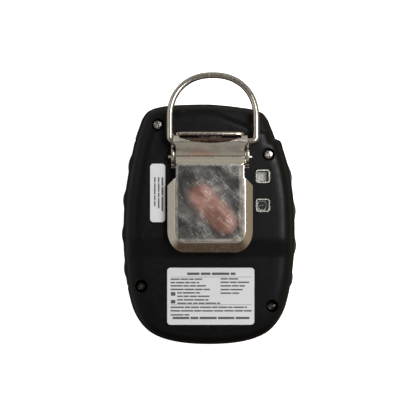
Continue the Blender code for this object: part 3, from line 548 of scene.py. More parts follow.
def smooth_outline():
    """The whole outline as a smooth loop, from the top round by the right: (point, outward direction)."""
    right = [Vector(p) for p in HALF_OUTLINE]
    left = [Vector((-p.x, p.y)) for p in right[1:-1]]
    loop = right + left[::-1]
    count = len(loop)
    samples = []
    for i in range(count):
        around = [loop[(i + k) % count] for k in (-1, 0, 1, 2)]
        samples += [between(*around, step / OUTLINE_STEPS) for step in range(OUTLINE_STEPS)]
    loop = []
    for i, point in enumerate(samples):
        along = samples[(i + 1) % len(samples)] - samples[i - 1]
        loop.append((point, Vector((-along.y, along.x)).normalized()))
    return loop


OUTLINE = smooth_outline()


def back_height(y):
    """The back's height along the case: flat, then a soft step down, then a slope."""
    if y >= WAVE_TOP_Y:
        return BACK_Z
    share = min(1.0, (WAVE_TOP_Y - y) / (WAVE_TOP_Y - WAVE_FOOT_Y))
    drop = WAVE_DROP * (1 - math.cos(math.pi * share)) / 2
    beyond = max(0.0, (WAVE_FOOT_Y - y) / (WAVE_FOOT_Y + CASE_HALF_LENGTH))
    return BACK_Z - drop - TAIL_DROP * beyond


def set_back(point):
    """How far the corner beyond the diagonal step stands back, and the grip below it."""
    beside = max(0.0, min(1.0, point.x / STEP_SET_BACK_FROM_X))
    if point.y > GRIP_HIGH_Y:
        above = min(1.0, (point.y - GRIP_HIGH_Y) / STEP_LOWERED_OVER)
        return Vector((STEP_SET_BACK * beside, STEP_LOWERED * beside * above))
    towards = max(0.0, (point.y - GRIP_SET_BACK_FROM_Y) / (GRIP_HIGH_Y - GRIP_SET_BACK_FROM_Y))
    return Vector((GRIP_SET_BACK * beside * towards, 0.0))


def case_ring(inset, z, recessed=False, follows_back=False, shrink=1.0):
    """The outline inset and at a height. A recessed ring steps in along the grips."""
    ring = []
    for point, outward in OUTLINE:
        deeper = inset
        if recessed and GRIP_LOW_Y < point.y < GRIP_HIGH_Y:
            deeper = max(inset, GRIP_RECESS)
        near = min(deeper, DEEPEST_OFFSET)
        place = point - outward * near
        rest = deeper - near
        place.x *= 1 - rest / (CASE_HALF_WIDTH - near)
        place.y *= 1 - rest / (CASE_HALF_LENGTH - near)
        place -= set_back(point)
        place *= shrink
        height = z
        if follows_back:
            share = (z - GRIP_TOP_Z) / (BACK_Z - GRIP_TOP_Z)
            height = z - share * (BACK_Z - back_height(place.y))
        ring.append((place.x, place.y, height))
    return ring


def curve_through(points, steps):
    """A smooth open curve through a few points."""
    ends = [points[0]] + list(points) + [points[-1]]
    found = []
    for around in zip(ends, ends[1:], ends[2:], ends[3:]):
        found += [[between(*along, i / steps) for along in zip(*around)] for i in range(steps)]
    return found + [list(points[-1])]


def back_shell():
    """The rear cover: inner wall, rim, grip recess, crowned edge band and the panel within it."""
    seam = PARTING_Z + SEAM_GAP
    inner = [(6.2, ROOF_Z), (4.8, 23.4), (3.0, GRIP_TOP_Z), (2.6, seam + 0.6)]
    rings = [case_ring(inset, z, follows_back=z > GRIP_TOP_Z) for inset, z in inner]
    rings += [case_ring(inset, z) for inset, z in ((1.75, seam + 0.6), (1.65, seam), (0.3, seam))]
    rings += [case_ring(inset, z, recessed=True) for inset, z in ((0.08, seam + 0.22), (0.45, GRIP_TOP_Z))]
    crown = curve_through([(0.5, GRIP_TOP_Z + 0.12), (0.6, 21.4), (1.1, 23.4), (2.25, 25.35), (3.6, 26.42),
                           (5.0, 26.88), (EDGE_BAND, BACK_Z)], 5)
    rings += [case_ring(inset, z, follows_back=True) for inset, z in crown]
    panel_steps = 44
    for step in range(1, panel_steps):
        shrink = 1 - step / panel_steps
        rings.append(case_ring(EDGE_BAND, BACK_Z, follows_back=True, shrink=shrink))
    return loft(rings, "ladder")


def step_cutter():
    """What is cut away beyond the diagonal step: a rounded shoulder, then a flat."""
    start, end = (Vector(p) for p in STEP_LINE)
    along = (end - start).normalized()
    away = Vector((-along.y, along.x))
    section = [(-1.1, 0.1), (-0.7, -0.01), (-0.2, -0.08), (0.25, -0.26), (0.6, -0.55), (0.95, -0.88),
               (1.35, -1.1), (1.85, -STEP_DROP), (30.0, -STEP_DROP - 0.25), (30.0, 4.0), (-1.1, 4.0)]
    rings = []
    for place in (start - along * 20, end + along * 20):
        rings.append([(place.x + away.x * a, place.y + away.y * a, BACK_Z + z) for a, z in section])
    return loft(rings)


def make_rear_cover():
    cover = build("rear_shell", back_shell())
    seam = PARTING_Z + SEAM_GAP + 0.6
    posts = [turned(at, [(POST_R, seam), (POST_R, back_height(at[1]) - 1.2)]) for at, _ in CASE_SCREWS]
    posts += [turned((0, y), [(2.8, 23.2), (2.8, 26.0)]) for y in CLIP_SCREW_YS]
    carve(cover, "UNION", *posts)
    carve(cover, "DIFFERENCE", step_cutter())
    cuts = []
    for at, sunk in CASE_SCREWS:
        back = back_height(at[1])
        seat = back - sunk - HEAD_H - 0.3
        profile = [(SHANK_HOLE_R, seam - 1), (SHANK_HOLE_R, seat), (WELL_R, seat), (WELL_R, back - 0.25),
                   (WELL_R + 0.12, back - 0.1), (WELL_R + 0.5, back + 0.25), (WELL_R + 0.5, 29.0)]
        cuts.append(turned(at, profile, 64))
    cuts += [turned((0, y), [(SHANK_HOLE_R, 22.0), (SHANK_HOLE_R, 29.0)]) for y in CLIP_SCREW_YS]
    for y in PORT_YS:
        cuts.append(slab((PORT_X, y), PORT_SIZE, 1.0, (24.0, -0.55), (25.6, -0.55), (25.6, 0.0), (26.8, 0.0),
                         (27.3, 0.35), (29.0, 0.35)))
    carve(cover, "DIFFERENCE", *cuts)
    settle(cover, "case_plastic", "case", ["rear_cover"])


def front_shell():
    inner = [(5.5, 2.2), (4.2, 3.0), (2.8, 5.5), (2.6, PARTING_Z - 0.6), (1.75, PARTING_Z - 0.6),
             (1.65, PARTING_Z), (0.3, PARTING_Z)]
    rings = [case_ring(inset, z) for inset, z in inner]
    rings += [case_ring(inset, z, recessed=True)
              for inset, z in ((0.05, PARTING_Z - 0.22), (0.3, GRIP_BOTTOM_Z))]
    foot = curve_through([(0.32, GRIP_BOTTOM_Z - 0.12), (0.55, 4.1), (1.2, 2.4), (2.2, 0.85), (3.3, 0.12)], 5)
    rings += [case_ring(inset, z) for inset, z in foot + [[3.7, 0.0], [12.0, 0.0]]]
    return loft(rings, "ladder")


def make_front_cover():
    cover = build("front_shell", front_shell())
    post_top = PARTING_Z - 0.6
    carve(cover, "UNION", *[turned(at, [(POST_R, 1.8), (POST_R, post_top)]) for at, _ in CASE_SCREWS])
    cuts = [turned(at, [(2.2, 6.4), (2.2, post_top + 1)]) for at, _ in CASE_SCREWS]
    cuts.append(slab(WINDOW_AT, WINDOW_SIZE, 1.5, (-1.0, 0.9), (-0.2, 0.9), (0.4, 0.3), (1.4, 0.3),
                     (1.4, -1.5), (3.0, -1.5)))
    cuts.append(slab(ALARM_AT, ALARM_SIZE, 1.0, (-1.0, 0.7), (-0.1, 0.7), (0.3, 0.3), (3.0, 0.3)))
    cuts.append(slab(KEY_AT, KEY_SIZE, 3.0, (-1.0, 1.1), (-0.1, 1.1), (0.7, 0.3), (3.0, 0.3)))
    port = [(10.9, -1.0), (10.9, -0.1), (10.3, 0.5), (10.3, 1.8), (SENSOR_PORT_R, 1.8), (SENSOR_PORT_R, 3.0)]
    cuts.append(turned(SENSOR_AT, port, 96))
    x, y = BUZZER_AT
    for dy in (-2.2, 0.0, 2.2):
        cuts.append(slab((x, y + dy), (5.0, 1.0), 0.45, (-1.0, 0.3), (-0.1, 0.3), (0.3, 0.0), (3.0, 0.0)))
    carve(cover, "DIFFERENCE", *cuts)
    settle(cover, "case_plastic", "case", ["front_cover"])


def rib_height(y, rib_y):
    height = GRIP_RIB_HEIGHT * max(0.0, math.cos(2 * math.pi * (y - rib_y) / GRIP_RIB_PITCH))
    return height * min(1.0, (y - GRIP_LOW_Y) / GRIP_RIB_FADE, (GRIP_HIGH_Y - y) / GRIP_RIB_FADE)


def make_grips():
    """Rubber strips in the side recesses, with soft ribs and rounded long edges."""
    low, high = GRIP_BOTTOM_Z + 0.12, GRIP_TOP_Z - 0.1
    for name, (side, rib_y) in GRIP_RIBS.items():
        rings = []
        for point, outward in OUTLINE:
            if side * point.x <= 0 or not GRIP_LOW_Y + 0.3 < point.y < GRIP_HIGH_Y - 0.3:
                continue
            end = min(point.y - GRIP_LOW_Y, GRIP_HIGH_Y - point.y)
            outer = 0.1 - rib_height(point.y, rib_y) + 0.35 * max(0.0, 1 - end / 1.2)
            half = (high - low) / 2
            section = [(1.3, low), (0.75, low), (0.5, low + 0.1)]
            for i in range(13):
                turn = math.pi * (i / 12 - 0.5)
                bulge = 1 - abs(math.sin(turn)) ** 6
                section.append((outer + 0.42 * (1 - bulge), low + half + (half - 0.1) * math.sin(turn)))
            section += [(0.5, high - 0.1), (0.75, high), (1.3, high)]
            ring = []
            for inset, z in section:
                there = point - outward * inset - set_back(point)
                ring.append((there.x, there.y, z))
            rings.append(ring)
        grip = build(f"{name}_skin", loft(rings))
        settle(grip, "grip_rubber", "case", [name])


def cross_recess(at, top, arm, width, depth):
    """A tapered cross for a screwdriver, as two crossing wedges."""
    wedges = []
    for turn in (0.35, 0.35 + math.pi / 2):
        along, across = Vector((math.cos(turn), math.sin(turn))), Vector((-math.sin(turn), math.cos(turn)))
        rings = []
        for z, reach, half in ((top - depth, arm * 0.35, width * 0.3), (top + 0.3, arm * 1.15, width * 0.6)):
            corners = [along * a * reach + across * b * half for a, b in ((1, 1), (-1, 1), (-1, -1), (1, -1))]
            rings.append([(at[0] + c.x, at[1] + c.y, z) for c in corners])
        wedges.append(loft(rings))
    return wedges


def screw(name, at, profile, top, arm, replaces):
    made = build(name, turned(at, profile, 48))
    for wedge in cross_recess(at, top, arm, 0.72, 1.0):
        carve(made, "DIFFERENCE", wedge)
    settle(made, "fastener_steel", "case", [replaces])


def make_screws():
    for number, (at, sunk) in enumerate(CASE_SCREWS, 1):
        top = back_height(at[1]) - sunk
        under = top - HEAD_H
        profile = [(0.6, SCREW_TIP_Z), (SHANK_R, SCREW_TIP_Z + 0.5), (SHANK_R, under), (HEAD_R, under),
                   (HEAD_R, top - 0.55), (HEAD_R - 0.08, top - 0.36), (1.45, top - 0.16), (1.0, top - 0.04),
                   (0.4, top)]
        screw(f"cross_screw_{number}", at, profile, top, 1.4, f"case_screw_{number}")
    seat = BASE_Z + SHEET + 0.05
    for number, y in enumerate(CLIP_SCREW_YS, 1):
        profile = [(0.8, 23.6), (SHANK_R, 24.0), (SHANK_R, seat), (2.1, seat), (2.1, seat + 0.5),
                   (1.9, seat + 0.85), (1.3, seat + 1.05), (0.5, seat + 1.1)]
        screw(f"plate_screw_{number}", (0, y), profile, seat + 1.1, 1.3, f"clip_screw_{number}")


# ---- labels ----

def words(width, height, chooser):
    """Word-length bars, (start, end), that fill a line of print."""
    bars, x = [], 0.0
    while x < width - height:
        end = min(width, x + height * chooser.uniform(3.0, 9.5))
        bars.append((x, end))
        x = end + height * 0.55
    return bars


def print_bars(lines, chooser):
    """Lines of print, (left, right, middle, height, whether broken into words), as plain bars: no letters."""
    bars = []
    for left, right, middle, height, broken in lines:
        pieces = words(right - left, height, chooser) if broken else [(0.0, right - left)]
        for start, end in pieces:
            bars.append((left + start, left + end, middle, height))
    return bars


# Each line is (left, right, middle, height, whether broken into words), from the label's middle
REAR_PRINT = [
    (-8.3, 8.7, 7.9, 0.85, True), (-13.9, 14.6, 6.75, 0.12, False),
    (-14.1, -3.0, 6.0, 0.5, True), (-14.1, -4.0, 4.8, 0.5, True), (-14.1, -1.7, 3.65, 0.5, True),
    (-14.1, -0.3, 2.4, 0.5, True), (-11.8, -3.8, 1.2, 0.5, True), (-11.8, -0.3, 0.0, 0.5, True),
    (-11.8, -0.8, -1.25, 0.5, True), (-11.8, 3.3, -2.45, 0.5, True),
    (3.4, 10.2, 6.1, 0.5, True), (3.4, 13.7, 4.9, 0.5, True), (3.4, 12.0, 3.65, 0.5, True),
    (3.4, 11.3, 2.35, 0.5, True), (3.4, 10.2, 1.1, 0.5, True),
    (-13.9, 14.4, -2.95, 0.12, False), (-14.1, 12.7, -3.85, 0.5, True), (-14.1, 14.3, -5.1, 0.5, True),
    (-14.1, -7.5, -6.5, 0.5, True), (-13.4, 13.6, -7.6, 0.8, True),
    (-14.0, -12.4, 0.85, 1.3, False), (-14.0, -12.4, -1.9, 1.2, False),
]
SIDE_PRINT = [  # running along the label
    (-6.4, 5.5, -1.65, 0.62, True), (-5.4, 5.5, -0.35, 0.5, True), (-4.7, 5.5, 1.0, 0.5, True),
]


def make_labels():
    chooser = random.Random(7)
    slope = TAIL_DROP / (CASE_HALF_LENGTH + WAVE_FOOT_Y)
    for name, at, size, lines, upright in (
            ("rear_label", REAR_LABEL_AT, REAR_LABEL_SIZE, REAR_PRINT, True),
            ("side_label", SIDE_LABEL_AT, SIDE_LABEL_SIZE, SIDE_PRINT, False)):
        tilt = slope if upright else 0.0
        level = back_height(at[1]) + LABEL_LIFT

        def lay(shape):
            return [(x, y, level + z + tilt * (y - at[1])) for x, y, z in shape[0]], shape[1]

        sheet = slab(at, size, LABEL_CORNER, (-LABEL_LIFT + 0.03, 0.0), (LABEL_THICK - 0.05, 0.0),
                     (LABEL_THICK, -0.06))
        label = build(f"{name}_stock", lay(sheet))
        settle(label, "label", "case", [name])
        marks = []
        for left, right, middle, height in print_bars(lines, chooser):
            centre, width = (left + right) / 2, right - left
            place = (at[0] + centre, at[1] + middle) if upright else (at[0] - middle, at[1] + centre)
            shape = (width, height) if upright else (height, width)
            corner = min(0.12, height / 2.2)
            marks.append(lay(slab(place, shape, corner, (LABEL_THICK - 0.04, 0.0), (LABEL_THICK + 0.012, 0.0),
                                  per_corner=3)))
        settle(build(f"{name}_print", joined(marks)), "ink", "case")


# ---- infrared port ----

def make_port():
    """The two windows with their plated frames, the emitter behind the upper one and the receiver."""
    for name, y in zip(("upper_port_window", "lower_port_window"), PORT_YS):
        pane = slab((PORT_X, y), PORT_SIZE, 1.0, (25.65, -0.35), (25.75, -0.2), (26.3, -0.2), (26.45, -0.38))
        settle(build(f"{name}_pane", pane), "port_glass", "case", [name])
    at = (PORT_X - EMITTER_SHIFT_X, PORT_YS[0])
    body = slab(at, EMITTER_SIZE, 0.35, (PORT_BOARD_Z, 0.0), (23.9, 0.0), (24.0, -0.1))
    emitter = build("emitter_body", body)
    carve(emitter, "DIFFERENCE", turned(at, [(0.7, 23.5), (1.25, 24.3)], 32))
    settle(emitter, "led", "case", ["ir_emitter"])
    die = turned(at, [(0.66, 23.52), (0.66, 23.62), (0.5, 23.8), (0.2, 23.9)], 24)
    settle(build("emitter_lens", die), "led", "case")
    at = (PORT_X - RECEIVER_SHIFT_X, PORT_YS[1])
    dome = [(1.75, PORT_BOARD_Z), (1.75, 22.7), (DOME_R, 22.75)]
    for degrees in range(0, 86, 9):
        turn = math.radians(degrees)
        dome.append((DOME_R * math.cos(turn), 22.9 + DOME_HEIGHT * math.sin(turn)))
    settle(build("receiver_dome", turned(at, dome, 40)), "component", "case",
           ["ir_receiver"])
    rim = loft([circle(at, z, r, 40) for r, z in ((1.45, 22.7), (1.95, 22.7), (1.95, 23.3), (1.45, 23.3))],
               "closed")
    settle(build("receiver_rim", rim), "fastener_steel", "case")
    for y in PORT_YS:
        at = (PORT_X, y)
        bezel = build("port_bezel", slab(at, (5.1, 4.75), 0.9, (26.46, 0.0), (26.6, 0.0), (26.66, -0.08)))
        carve(bezel, "DIFFERENCE", slab(at, (4.1, 3.8), 0.6, (26.0, 0.0), (27.0, 0.0)))
        settle(bezel, "contact_nickel", "case")


# ---- belt clip ----

def half_turn_steps(parts, first, last):
    """Angles from the first to the last of that many parts of a half turn."""
    return [math.pi / parts * i for i in range(first, last + 1)]


def make_clip_base():
    """The base plate with its two ears for the pin and its raised lip."""
    low, high = BASE_Z, BASE_Z + SHEET
    right = [(0.0, -7.4)]
    right += [(10.0 + 2.0 * math.sin(t), -5.4 - 2.0 * math.cos(t)) for t in half_turn_steps(12, 0, 6)]
    right += [(12.0, EAR_LOW_Y), (EAR_OUTER_X, EAR_LOW_Y), (EAR_OUTER_X, 26.9), (NECK_HALF, 26.9),
              (NECK_HALF, 31.2)]
    outline = right + [(-x, y) for x, y in reversed(right[1:])]
    base = build("clip_plate", prism(outline, low, high))
    lip = []
    for x, top, wide in ((-11.9, 28.25, 0.4), (-11.7, 28.5, 0.55), (-11.2, 28.8, 0.65), (-10.2, 29.15, 0.7),
                         (-9.0, 29.3, 0.7), (9.0, 29.3, 0.7), (10.2, 29.15, 0.7), (11.2, 28.8, 0.65),
                         (11.7, 28.5, 0.55), (11.9, 28.25, 0.4)):
        section = [(LIP_Y - wide, low), (LIP_Y - wide, top - 0.35)]
        section += [(LIP_Y - wide * math.cos(t), top - 0.35 + 0.35 * math.sin(t))
                    for t in half_turn_steps(8, 1, 7)]
        section += [(LIP_Y + wide, top - 0.35), (LIP_Y + wide, low)]
        lip.append([(x, y, z) for y, z in section])
    ear = [(EAR_LOW_Y, low), (27.5, low), (27.5, 29.2)]
    ear += [(24.0 + 2.6 * math.cos(t) * 1.3, 28.7 + 2.6 * math.sin(t)) for t in half_turn_steps(12, 1, 11)]
    ear += [(20.2, 29.2)]
    carve(base, "UNION", loft(lip))
    carve(base, "UNION", prism_x(ear, EAR_INNER_X, EAR_OUTER_X), prism_x(ear, -EAR_OUTER_X, -EAR_INNER_X))
    holes = [turned((0, y), [(SHANK_HOLE_R, low - 1), (SHANK_HOLE_R, high + 1)]) for y in CLIP_SCREW_YS]
    pin_hole = turned((0, 0), [(PIN_HOLE_R, -16), (PIN_HOLE_R, 16)], 32)
    carve(base, "DIFFERENCE", *holes, along_x(pin_hole, PIN_Y, PIN_Z))
    soften(base, 0.14)
    settle(base, "clip_nickel", "case", ["clip_base"])


def make_pin():
    half = PIN_HALF
    profile = [(0.3, -half), (0.45, 0.06 - half), (PIN_R, 0.2 - half),
               (PIN_R, half - 0.2), (0.45, half - 0.06), (0.3, half)]
    pin = build("hinge_pin", along_x(turned((0, 0), profile, 24), PIN_Y, PIN_Z))
    settle(pin, "fastener_steel", "case", ["clip_pin"])


def make_spring():
    """The torsion spring: a leg on the base plate, coils round the pin and a leg under the thumb tab."""
    per_turn = 24
    length = COIL_TURNS * COIL_PITCH
    start_turn, end_turn = math.radians(-90), math.radians(90) + 2 * math.pi * (COIL_TURNS - 1)
    steps = int((end_turn - start_turn) / (2 * math.pi) * per_turn)
    points = [Vector((-length / 2, PIN_Y + y, PIN_Z - COIL_R)) for y in (2.6, 1.8, 1.0, 0.4)]
    for i in range(steps + 1):
        turn = start_turn - (end_turn - start_turn) * i / steps
        x = -length / 2 + length * i / steps
        points.append(Vector((x, PIN_Y + COIL_R * math.cos(turn), PIN_Z + COIL_R * math.sin(turn))))
    last = points[-1]
    points += [last + Vector((0, 0.4, 0.02)), last + Vector((0, 1.0, 0.1)), last + Vector((0, 2.0, 0.29)),
               last + Vector((0, 2.8, 0.5))]
    spring = build("spring_coil", swept(points, COIL_WIRE_R, 10))
    settle(spring, "fastener_steel", "case", ["clip_spring"])
    spring.parent = None
    del spring["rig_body"]
    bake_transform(spring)


class Flange:
    """A sheet's path outwards from its flat: a flat run, a round bend and a straight."""

    def __init__(self, flat, bend_r, angle):
        self.flat, self.bend_r, self.angle = flat, bend_r, math.radians(angle)

    def at(self, s):
        """(distance outwards, drop) after a length s."""
        if s <= self.flat:
            return s, 0.0
        arc = min(s - self.flat, self.bend_r * self.angle)
        turn = arc / self.bend_r
        straight = s - self.flat - arc
        out = self.flat + self.bend_r * math.sin(turn) + straight * math.cos(self.angle)
        return out, self.bend_r * (1 - math.cos(turn)) + straight * math.sin(self.angle)

    def length_to_drop(self, drop):
        arc = self.bend_r * self.angle
        return self.flat + arc + (drop - self.bend_r * (1 - math.cos(self.angle))) / math.sin(self.angle)


CORNER_X, CORNER_Y = 9.0, -2.37  # the flat's round corners turn about here
SIDE_STEPS, FLAT_COLUMNS = 40, 12
SIDE_FLANGE = Flange(3.1, 0.6, 50.0)
TAB_EDGE = Flange(2.55, 0.5, 90.0)
SHOULDER_END_LENGTH, TAB_EDGE_LENGTH = 3.4, 2.8
EAR_MIDDLE_Y, EAR_REACH, EAR_FOOT_Z = 23.1, 2.6, 28.6  # the lever's own ears, inside the base plate's
JAW_STRETCH = 1.31  # the jaw's flange reaches further out than the sides', and is less steep


def lever_side(y, z):
    """The flange path and its length at a place along the lever."""
    full = SIDE_FLANGE.length_to_drop(LEVER_TOP_Z - LEVER_JAW_Z)
    if y <= SHOULDER_LOW_Y:
        return SIDE_FLANGE, full
    if y <= SHOULDER_HIGH_Y:
        share = (y - SHOULDER_LOW_Y) / (SHOULDER_HIGH_Y - SHOULDER_LOW_Y)
        return SIDE_FLANGE, full + (SHOULDER_END_LENGTH - full) * share
    ear = 1 - ((y - EAR_MIDDLE_Y) / EAR_REACH) ** 2
    if ear > 0:
        return TAB_EDGE, TAB_EDGE_LENGTH + max(0.0, (z - EAR_FOOT_Z)) * ear ** 0.35
    return TAB_EDGE, TAB_EDGE_LENGTH


def lever_rows():
    """The lever's outer face as rows across it, and how many of them come before the curls."""
    xs = [CORNER_X * i / FLAT_COLUMNS for i in range(FLAT_COLUMNS)]
    rows = []
    full = SIDE_FLANGE.length_to_drop(LEVER_TOP_Z - LEVER_JAW_Z)

    def mirrored(half):
        return [(-x, y, z) for x, y, z in half[:0:-1]] + half

    for step in range(SIDE_STEPS, 0, -1):
        down = full * step / SIDE_STEPS
        out, drop = SIDE_FLANGE.at(down)
        half = [(x, CORNER_Y - out * JAW_STRETCH, LEVER_TOP_Z - drop) for x in xs]
        for i in range(SIDE_STEPS + 1):
            side = full * i / SIDE_STEPS
            out, drop = SIDE_FLANGE.at(max(side, down))
            turn = math.pi / 4 * (down / side) if side > down else math.pi / 2 - math.pi / 4 * (side / down)
            half.append((CORNER_X + out * math.cos(turn), CORNER_Y - out * JAW_STRETCH * math.sin(turn),
                         LEVER_TOP_Z - drop))
        rows.append(mirrored(half))
    bend = on_curl(CURL_START_TURN)
    path = rounded_path([(CORNER_Y, LEVER_TOP_Z, 0.0), (20.9, LEVER_TOP_Z, 3.2), (CREASE_Y, CREASE_Z, 0.3),
                         (bend.x, bend.y, 0.0)], 0.4)
    for y, z in path:
        if y > TAB_END_Y - 0.2:
            break
        flange, length = lever_side(y, z)
        half = [(x, y, z) for x in xs]
        for i in range(SIDE_STEPS + 1):
            out, drop = flange.at(length * i / SIDE_STEPS)
            half.append((CORNER_X + out, y, z - drop))
        rows.append(mirrored(half))
    tab, curls = tab_end_rows()
    return rows + tab + curls, len(rows) + len(tab)


def on_curl(turn):
    return Vector((BAR_Y + CURL_R * math.cos(turn), BAR_Z + CURL_R * math.sin(turn)))


TAB_END_Y = 25.9  # from here on the tab's rows bend towards its scalloped edge


def tab_end_rows():
    """Rows over the tab's end up to its scalloped edge, then the rows of the curls round the bar."""
    bend = on_curl(CURL_START_TURN)
    crease = Vector((CREASE_Y, CREASE_Z))
    along = (bend - crease).normalized()
    start, straight = (TAB_END_Y - CREASE_Y) / along.x, (bend - crease).length
    right = [CORNER_X * i / FLAT_COLUMNS for i in range(1, FLAT_COLUMNS)]
    right += [CORNER_X + (LEVER_TAB_HALF - CORNER_X) * i / SIDE_STEPS for i in range(SIDE_STEPS + 1)]
    tab_xs = [-x for x in reversed(right)] + [0.0] + right

    def place(x, length):
        if length <= straight:
            return (x, *(crease + along * length))
        return (x, *on_curl(CURL_START_TURN - (length - straight) / CURL_R))

    def edge_length(x):
        y = SCALLOP_MIDDLE_Y + SCALLOP_DEPTH * min(1.0, abs(x) / CURL_INNER_X) ** 2
        if y <= bend.x:
            return (y - CREASE_Y) / along.x
        return straight + CURL_R * (CURL_START_TURN - math.acos((y - BAR_Y) / CURL_R))

    def widened(x, length):
        """The tab grows wider towards its curls."""
        share = max(0.0, min(1.0, (length - straight + 0.9) / 1.4))
        share = share * share * (3 - 2 * share)
        beyond = max(0.0, abs(x) - CURL_INNER_X) / (LEVER_TAB_HALF - CURL_INNER_X)
        return x + math.copysign(beyond * share * (CURL_OUTER_X - LEVER_TAB_HALF), x)

    tab, curls = [], []
    full = edge_length(LEVER_TAB_HALF)
    for step in range(15):
        tab.append([])
        for x in tab_xs:
            length = start + (edge_length(x) - start) * step / 14
            tab[-1].append(place(widened(x, length), length))
    whole = straight + CURL_R * (CURL_START_TURN - CURL_END_TURN)
    for step in range(1, 25):
        length = full + (whole - full) * step / 24
        curls.append([place(widened(x, length), length) for x in tab_xs])
    return tab, curls


def make_clip_lever():
    rows, full_rows = lever_rows()
    columns = len(rows[0])
    faces = []
    for r in range(len(rows) - 1):
        for c in range(columns - 1):
            if r >= full_rows - 1 and min(abs(rows[r][c][0]), abs(rows[r][c + 1][0])) < CURL_INNER_X:
                continue
            low = r * columns + c
            faces.append([low, low + 1, low + columns + 1, low + columns])
    lever = build("lever_sheet", ([point for row in rows for point in row], faces), outwards=False)
    loose = bmesh.new()
    loose.from_mesh(lever.data)
    bmesh.ops.delete(loose, geom=[v for v in loose.verts if not v.link_faces], context="VERTS")
    loose.to_mesh(lever.data)
    loose.free()
    thicken = lever.modifiers.new("Sheet", "SOLIDIFY")
    thicken.thickness = SHEET
    thicken.offset = -1
    thicken.use_even_offset = True
    apply_modifiers(lever)
    pin_hole = turned((0, 0), [(PIN_HOLE_R, -13), (PIN_HOLE_R, 13)], 32)
    carve(lever, "DIFFERENCE", along_x(pin_hole, PIN_Y, PIN_Z))
    settle(lever, "lever_nickel", "lever", ["clip_lever"], sharp=40)


def make_ring():
    """The wire ring: a straight bar in the curls, two round corners, short legs and a wide arch."""
    bar_half = RING_HALF - RING_CORNER_R

    def corner(x, first_degrees):
        turns = [math.radians(first_degrees + 90 * i / 8) for i in range(8)]
        return [(x + RING_CORNER_R * math.cos(t), RING_CORNER_R + RING_CORNER_R * math.sin(t)) for t in turns]

    flat = [(-bar_half + 2 * bar_half * i / 12, 0.0) for i in range(12)]
    flat += corner(bar_half, -90)
    flat += [(RING_HALF, RING_CORNER_R + (RING_LEG_END - RING_CORNER_R) * i / 6) for i in range(6)]
    arch, arch_steps, power = RING_TOP - RING_LEG_END, 72, 2 / RING_ROUNDNESS
    for i in range(arch_steps + 1):
        turn = math.pi * i / arch_steps
        x = RING_HALF * math.copysign(abs(math.cos(turn)) ** power, math.cos(turn))
        flat.append((x, RING_LEG_END + arch * abs(math.sin(turn)) ** power))
    flat += [(-RING_HALF, RING_LEG_END + (RING_CORNER_R - RING_LEG_END) * i / 6) for i in range(1, 6)]
    flat += corner(-bar_half, 180)
    fall, reach = math.sin(RING_TILT), math.cos(RING_TILT)
    points = [Vector((x + RING_SHIFT_X, BAR_Y + v * reach, BAR_Z - v * fall)) for x, v in flat]
    ring = build("ring_wire", swept(points, WIRE_R, 24, closed=True))
    settle(ring, "ring_nickel", "ring", ["lanyard_ring"])


# ---- front ----

def make_front_pieces():
    pane = slab(WINDOW_AT, WINDOW_SIZE, 1.5, (0.32, -0.25), (0.5, 0.0), (1.1, 0.0))
    settle(build("window_pane", pane), "display_glass", "case", ["display_window"])
    frame_rings = []
    for z, grown in ((1.12, -0.1), (1.3, -0.1), (1.3, -4.0), (1.12, -4.0)):
        size = (WINDOW_SIZE[0] + 2 * grown, WINDOW_SIZE[1] + 2 * grown)
        frame_rings.append(rounded_rectangle(WINDOW_AT, size, 1.0, z))
    settle(build("window_mask", loft(frame_rings, "closed")), "display_frame", "case")
    lens = slab(ALARM_AT, ALARM_SIZE, 1.0, (0.3, -0.5), (0.42, -0.15), (0.7, 0.0), (2.5, 0.0), (2.5, 1.0),
                (3.2, 1.0))
    settle(build("alarm_bar", lens), "alarm_lens", "case", ["alarm_lens"])
    key = slab(KEY_AT, KEY_SIZE, 3.0, (KEY_FACE_Z, -2.6), (KEY_FACE_Z + 0.04, -1.6), (KEY_FACE_Z + 0.14, -0.8),
               (KEY_FACE_Z + 0.34, -0.25), (KEY_FACE_Z + 0.7, 0.0), (2.5, 0.0), (2.5, 0.9), (3.1, 0.9))
    settle(build("key_cap", key), "key_rubber", "key", ["mode_key"])
    grille = [(2.0, 0.5), (6.5, 0.5), (7.0, 0.3), (9.3, 0.3), (9.8, 0.5), (SENSOR_CAP_R, 0.8),
              (SENSOR_CAP_R, 1.5)]
    cap = build("port_grille", turned(SENSOR_AT, grille, 96))
    hole_ats = [SENSOR_AT]
    for i in range(6):
        turn = math.radians(60 * i)
        hole_ats.append((SENSOR_AT[0] + 4.4 * math.cos(turn), SENSOR_AT[1] + 4.4 * math.sin(turn)))
    hole = [(1.5, -1), (1.5, 0.55), (1.3, 0.8), (1.3, 3)]
    carve(cap, "DIFFERENCE", *[turned(at, hole, 32) for at in hole_ats])
    settle(cap, "cap_plastic", "case", ["sensor_cap"])


def finish_cad_nodes():
    """The carried-over CAD nodes take the finish of their slot."""
    for part in frame["record"]["subparts"]:
        node = frame["nodes"][part["node"]]
        node.data.materials.clear()
        node.data.materials.append(FINISHES[part["material_slot"]])


# ---- stage ----

def area_light(name, place, aim, size, power, colour=(1.0, 1.0, 1.0)):
    data = bpy.data.lights.new(name, "AREA")
    data.shape = "DISK"
    data.size = size
    data.energy = power
    data.color = colour
    lamp = bpy.data.objects.new(name, data)
    lamp.location = place
    lamp.rotation_euler = (Vector(aim) - Vector(place)).to_track_quat("-Z", "Y").to_euler()
    bpy.context.scene.collection.objects.link(lamp)


